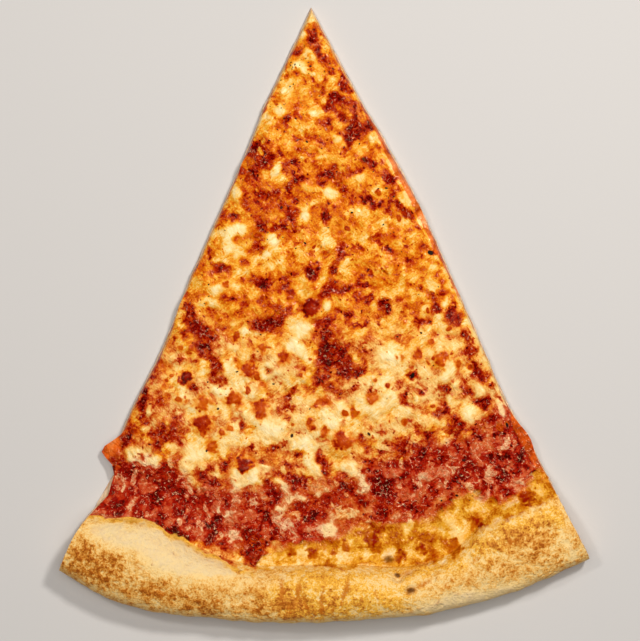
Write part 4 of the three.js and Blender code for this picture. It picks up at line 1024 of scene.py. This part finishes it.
class BakeCrust(bpy.types.Operator):
    """Bakes the bread: the puffed rim, the cut sides with their crumb, and the browned underside"""

    bl_idname = "slice.bake_crust"
    bl_label = "Bake the crust"

    def execute(self, context):
        bread, topping = context.scene.slice_bread, context.scene.slice_topping
        crust = copy_of_node("crust", "baked_crust")
        self.sort_faces(crust)
        centres = values_of(crust.data.polygons, "center", 3)
        covered = (TIP.y - centres[:, 1]) / MM < COVERED_LENGTH
        kinds = values_of(crust.data.polygons, "material_index", kind=np.int32)
        divide(crust, (kinds == CRUMB) | ((kinds == SKIN) & ~covered), CRUST_CUTS)
        self.puff(crust, bread)
        paint_all(crust)
        skin = topped_material("baked_skin", bread, topping)
        for material in (skin, crumb_material(bread), stone_baked_material(bread)):
            crust.data.materials.append(material)
        select_only(crust)
        bpy.ops.object.shade_smooth_by_angle(angle=SKIN_ANGLE)
        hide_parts("crust")
        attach(crust, "root")
        return {"FINISHED"}

    def sort_faces(self, crust):
        """Tells skin, cut sides and underside apart."""
        normals = values_of(crust.data.polygons, "normal", 3)
        left = normals @ (-math.cos(LEFT_CUT), math.sin(LEFT_CUT), 0)
        right = normals @ (math.cos(RIGHT_CUT), math.sin(RIGHT_CUT), 0)
        centres = values_of(crust.data.polygons, "center", 3)
        inside_cuts = from_cuts((centres[:, 0] - TIP.x) / MM, (TIP.y - centres[:, 1]) / MM)
        cut = (inside_cuts < NEAR_A_CUT) & (np.maximum(left, right) > FACING_OUT)
        cut &= abs(normals[:, 2]) < UPRIGHT
        kinds = np.where(cut, CRUMB, np.where(normals[:, 2] < FACING_DOWN, UNDERSIDE, SKIN))
        crust.data.polygons.foreach_set("material_index", kinds.astype(np.int32))

    def puff(self, crust, bread):
        """Rounds the rim's facets off, and gives it its lumps, dents and torn cut sides."""
        kinds = values_of(crust.data.polygons, "material_index", kind=np.int32)
        open_to_air = np.clip(self.distance_from_sauce(crust) / 3 - 0.3, 0, 1)
        on_rim = np.clip(inset_from_border(crust, kinds == SKIN) / 4, 0, 1) * open_to_air
        soften(crust, "skin", on_rim, rounds=50)
        right, down = places_of(crust)
        rise = 0.6 * lumps(right, down, 8, 61) + 0.4 * lumps(right, down, 3.4, 62)
        rise = rise * bread.lump_height / MM + 0.1 * lumps(right, down, 1.7, 63)
        rise -= DENT_DEPTH * heap(DENTS, right, down) + CREASE_DEPTH * heap(CREASES, right, down)
        raise_surface(crust, "rim", rise * on_rim, "NORMAL")
        cut_inset = inset_from_border(crust, kinds == CRUMB)
        height = values_of(crust.data.vertices, "co", 3)[:, 2] / MM
        torn = 0.5 * lumps(right + down, height * 2, 2.2, 65)
        torn += 0.3 * lumps(right - down, height * 3, 1.2, 66)
        raise_surface(crust, "cut", torn * np.clip(cut_inset / 1.2, 0, 1) * TORN_HEIGHT, "NORMAL")
        paint(crust, "crust_line", 1 - np.clip(cut_inset / 0.9, 0, 1))

    def distance_from_sauce(self, crust):
        """How far each vertex is from what the sauce covers, in millimetres."""
        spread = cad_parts["sauce"].data
        places, faces = [v.co for v in spread.vertices], [f.vertices for f in spread.polygons]
        sauce = BVHTree.FromPolygons(places, faces)
        away = np.empty(len(crust.data.vertices))
        for index, vertex in enumerate(crust.data.vertices):
            covered = sauce.ray_cast(vertex.co - Vector((0, 0, MM)), Vector((0, 0, 1)))[0] is not None
            away[index] = 0 if covered else sauce.find_nearest(vertex.co)[3] / MM
        return away


class SpreadSauce(bpy.types.Operator):
    """Spreads the sauce, which shows at the cuts and round the edge of the cheese"""

    bl_idname = "slice.spread_sauce"
    bl_label = "Spread the sauce"

    def execute(self, context):
        bread, topping = context.scene.slice_bread, context.scene.slice_topping
        sauce, _ = fine_layer(
            "sauce", "tomato_sauce", "baked_crust", SAUCE_CUTS, border=3, rounds=20, reach=4
        )
        paint_all(sauce)
        sauce.data.materials.append(topped_material("tomato_sauce", bread, topping))
        select_only(sauce)
        bpy.ops.object.shade_smooth_by_angle(angle=TOPPING_ANGLE)
        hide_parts("sauce")
        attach(sauce, "root")
        return {"FINISHED"}


class MeltCheese(bpy.types.Operator):
    """Melts the cheese over the sauce, with its pools, sunken sauce patches and blisters"""

    bl_idname = "slice.melt_cheese"
    bl_label = "Melt the cheese"

    def execute(self, context):
        bread, topping = context.scene.slice_bread, context.scene.slice_topping
        cheese, inset = fine_layer(
            "cheese", "melted_cheese", "tomato_sauce", CHEESE_CUTS, border=1.5, rounds=22, reach=6
        )
        right, down, fields = paint_all(cheese)
        pool = smooth_step(0.3, 0.9, fields["cream_pool"])
        patch = smooth_step(0.3, 0.8, fields["sauce_patch"])
        dome = smooth_step(-0.25, 0.6, fields["blister"])
        rise = fields["relief"] * topping.lump_height / MM
        rise += 0.14 * lumps(right, down, 1.2, 83) * (0.4 + patch) + 0.25 * np.clip(fields["shred"], 0, 1)
        rise += pool * topping.pool_height / MM - patch * topping.patch_depth / MM
        rise += dome * fields["browning"] ** 0.5 * topping.blister_height / MM
        raise_surface(cheese, "melt", rise * np.clip(inset / 1.5, 0, 1))
        cheese.data.materials.append(topped_material("melted_cheese", bread, topping))
        select_only(cheese)
        bpy.ops.object.shade_smooth_by_angle(angle=TOPPING_ANGLE)
        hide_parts("cheese")
        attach(cheese, "root")
        return {"FINISHED"}


class ScatterHerbs(bpy.types.Operator):
    """Scatters flecks of dried herb over the topping, each lying on what is under it"""

    bl_idname = "slice.scatter_herbs"
    bl_label = "Scatter the herbs"

    def execute(self, context):
        draw = random.Random(7)
        flecks = HERBS + [self.small_fleck(draw) for _ in range(context.scene.slice_topping.herb_count)]
        surface = BVHTree.FromObject(bpy.data.objects["melted_cheese"], context.evaluated_depsgraph_get())
        herbs = bpy.data.objects.new("herb_flecks", bpy.data.meshes.new("herb_flecks"))
        context.scene.collection.objects.link(herbs)
        select_only(herbs)
        bpy.ops.object.mode_set(mode="EDIT")
        for right, down, half_length in flecks:
            above = Vector((TIP.x + right * MM, TIP.y - down * MM, CAD_BOX[1][2] + MM))
            place, normal = surface.ray_cast(above, Vector((0, 0, -1)))[:2]
            if place is not None:
                turn = normal.to_track_quat("Z", "Y") @ Quaternion((0, 0, 1), draw.uniform(0, math.pi))
                bpy.ops.mesh.primitive_ico_sphere_add(
                    subdivisions=1, radius=half_length * MM, location=place, rotation=turn.to_euler(),
                    scale=(1, draw.uniform(0.4, 0.85), 0.25),
                )
        bpy.ops.mesh.select_all(action="SELECT")
        bpy.ops.transform.vertex_random(offset=0.1 * MM, seed=3)
        bpy.ops.object.mode_set(mode="OBJECT")
        if not herbs.data.polygons:
            raise RuntimeError("No fleck of herb has anything to lie on")
        herbs.data.materials.append(herb_material())
        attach(herbs, "root")
        return {"FINISHED"}

    def small_fleck(self, draw):
        """Most of them lie on the half towards the tip."""
        down = FLECKS_FROM + FLECKS_REACH * draw.random() ** 1.5
        right = down * math.tan(draw.uniform(-0.92 * LEFT_CUT, 0.92 * RIGHT_CUT))
        return right, down, draw.uniform(0.2, 0.45)


class SetStudio(bpy.types.Operator):
    """Sets up the floor, the lights and the camera straight above the slice"""

    bl_idname = "slice.set_studio"
    bl_label = "Set up the studio"

    def execute(self, context):
        studio = context.scene.slice_studio
        bpy.ops.object.select_all(action="DESELECT")
        bpy.ops.mesh.primitive_plane_add(size=FLOOR_SIZE, location=(0, 0, -FLOOR_DROP))
        floor = context.object
        floor.name = "floor"
        bpy.ops.object.transform_apply()
        paint_floor = Finish("floor_paint")
        paint_floor.set(base_color=studio.floor, roughness=0.8)
        floor.data.materials.append(paint_floor.material)
        self.add_light(context, "key", KEY_PLACE, KEY_SIZE, studio.key_power)
        self.add_light(context, "window", WINDOW_PLACE, WINDOW_SIZE, studio.key_power * WINDOW_SHARE)
        glow = self.add_light(context, "glow", GLOW_PLACE, GLOW_SIZE, studio.key_power * GLOW_SHARE)
        glow.visible_glossy = False
        world = bpy.data.worlds.new("studio")
        context.scene.world = world
        world.use_nodes = True
        background = world.node_tree.nodes["Background"]
        background.inputs["Color"].default_value = (*studio.light, 1)
        background.inputs["Strength"].default_value = studio.fill
        world.cycles_visibility.glossy = False
        bpy.ops.object.camera_add(location=(*CAMERA_PLACE, studio.camera_height), rotation=(0, 0, 0))
        camera = context.object
        camera.name = "camera"
        distance = studio.camera_height - SURFACE_HEIGHT
        camera.data.lens = camera.data.sensor_width * distance / studio.view_height
        camera.data.clip_start = 0.01
        context.scene.camera = camera
        context.scene.view_settings.view_transform = "Standard"
        return {"FINISHED"}

    def add_light(self, context, name, place, size, power):
        bpy.ops.object.light_add(type="AREA", location=place)
        light = context.object
        light.name = name
        light.data.shape = "DISK"
        light.data.size = size
        light.data.energy = power
        light.data.color = context.scene.slice_studio.light
        light.rotation_euler = Vector(place).to_track_quat("Z", "Y").to_euler()
        return light


class SlicePanel(bpy.types.Panel):
    """Lists the steps and the settings"""

    bl_idname = "VIEW3D_PT_slice"
    bl_label = "Cheese pizza slice"
    bl_space_type = "VIEW_3D"
    bl_region_type = "UI"
    bl_category = "Slice"

    def draw(self, context):
        for step in STEPS:
            self.layout.operator(step.bl_idname)
        scene = context.scene
        for settings in (scene.slice_bread, scene.slice_topping, scene.slice_studio):
            box = self.layout.box()
            for name in settings.__annotations__:
                box.prop(settings, name)


STEPS = (BakeCrust, SpreadSauce, MeltCheese, ScatterHerbs, SetStudio)
CLASSES = (BreadSettings, ToppingSettings, StudioSettings, *STEPS, SlicePanel)


def register():
    for kind in CLASSES:
        bpy.utils.register_class(kind)
    bpy.types.Scene.slice_bread = PointerProperty(type=BreadSettings)
    bpy.types.Scene.slice_topping = PointerProperty(type=ToppingSettings)
    bpy.types.Scene.slice_studio = PointerProperty(type=StudioSettings)


def unregister():
    for name in ("slice_bread", "slice_topping", "slice_studio"):
        delattr(bpy.types.Scene, name)
    for kind in reversed(CLASSES):
        bpy.utils.unregister_class(kind)


def main():
    register()
    bpy.ops.slice.bake_crust()
    bpy.ops.slice.spread_sauce()
    bpy.ops.slice.melt_cheese()
    bpy.ops.slice.scatter_herbs()
    bpy.ops.slice.set_studio()


if __name__ == "__main__":
    main()
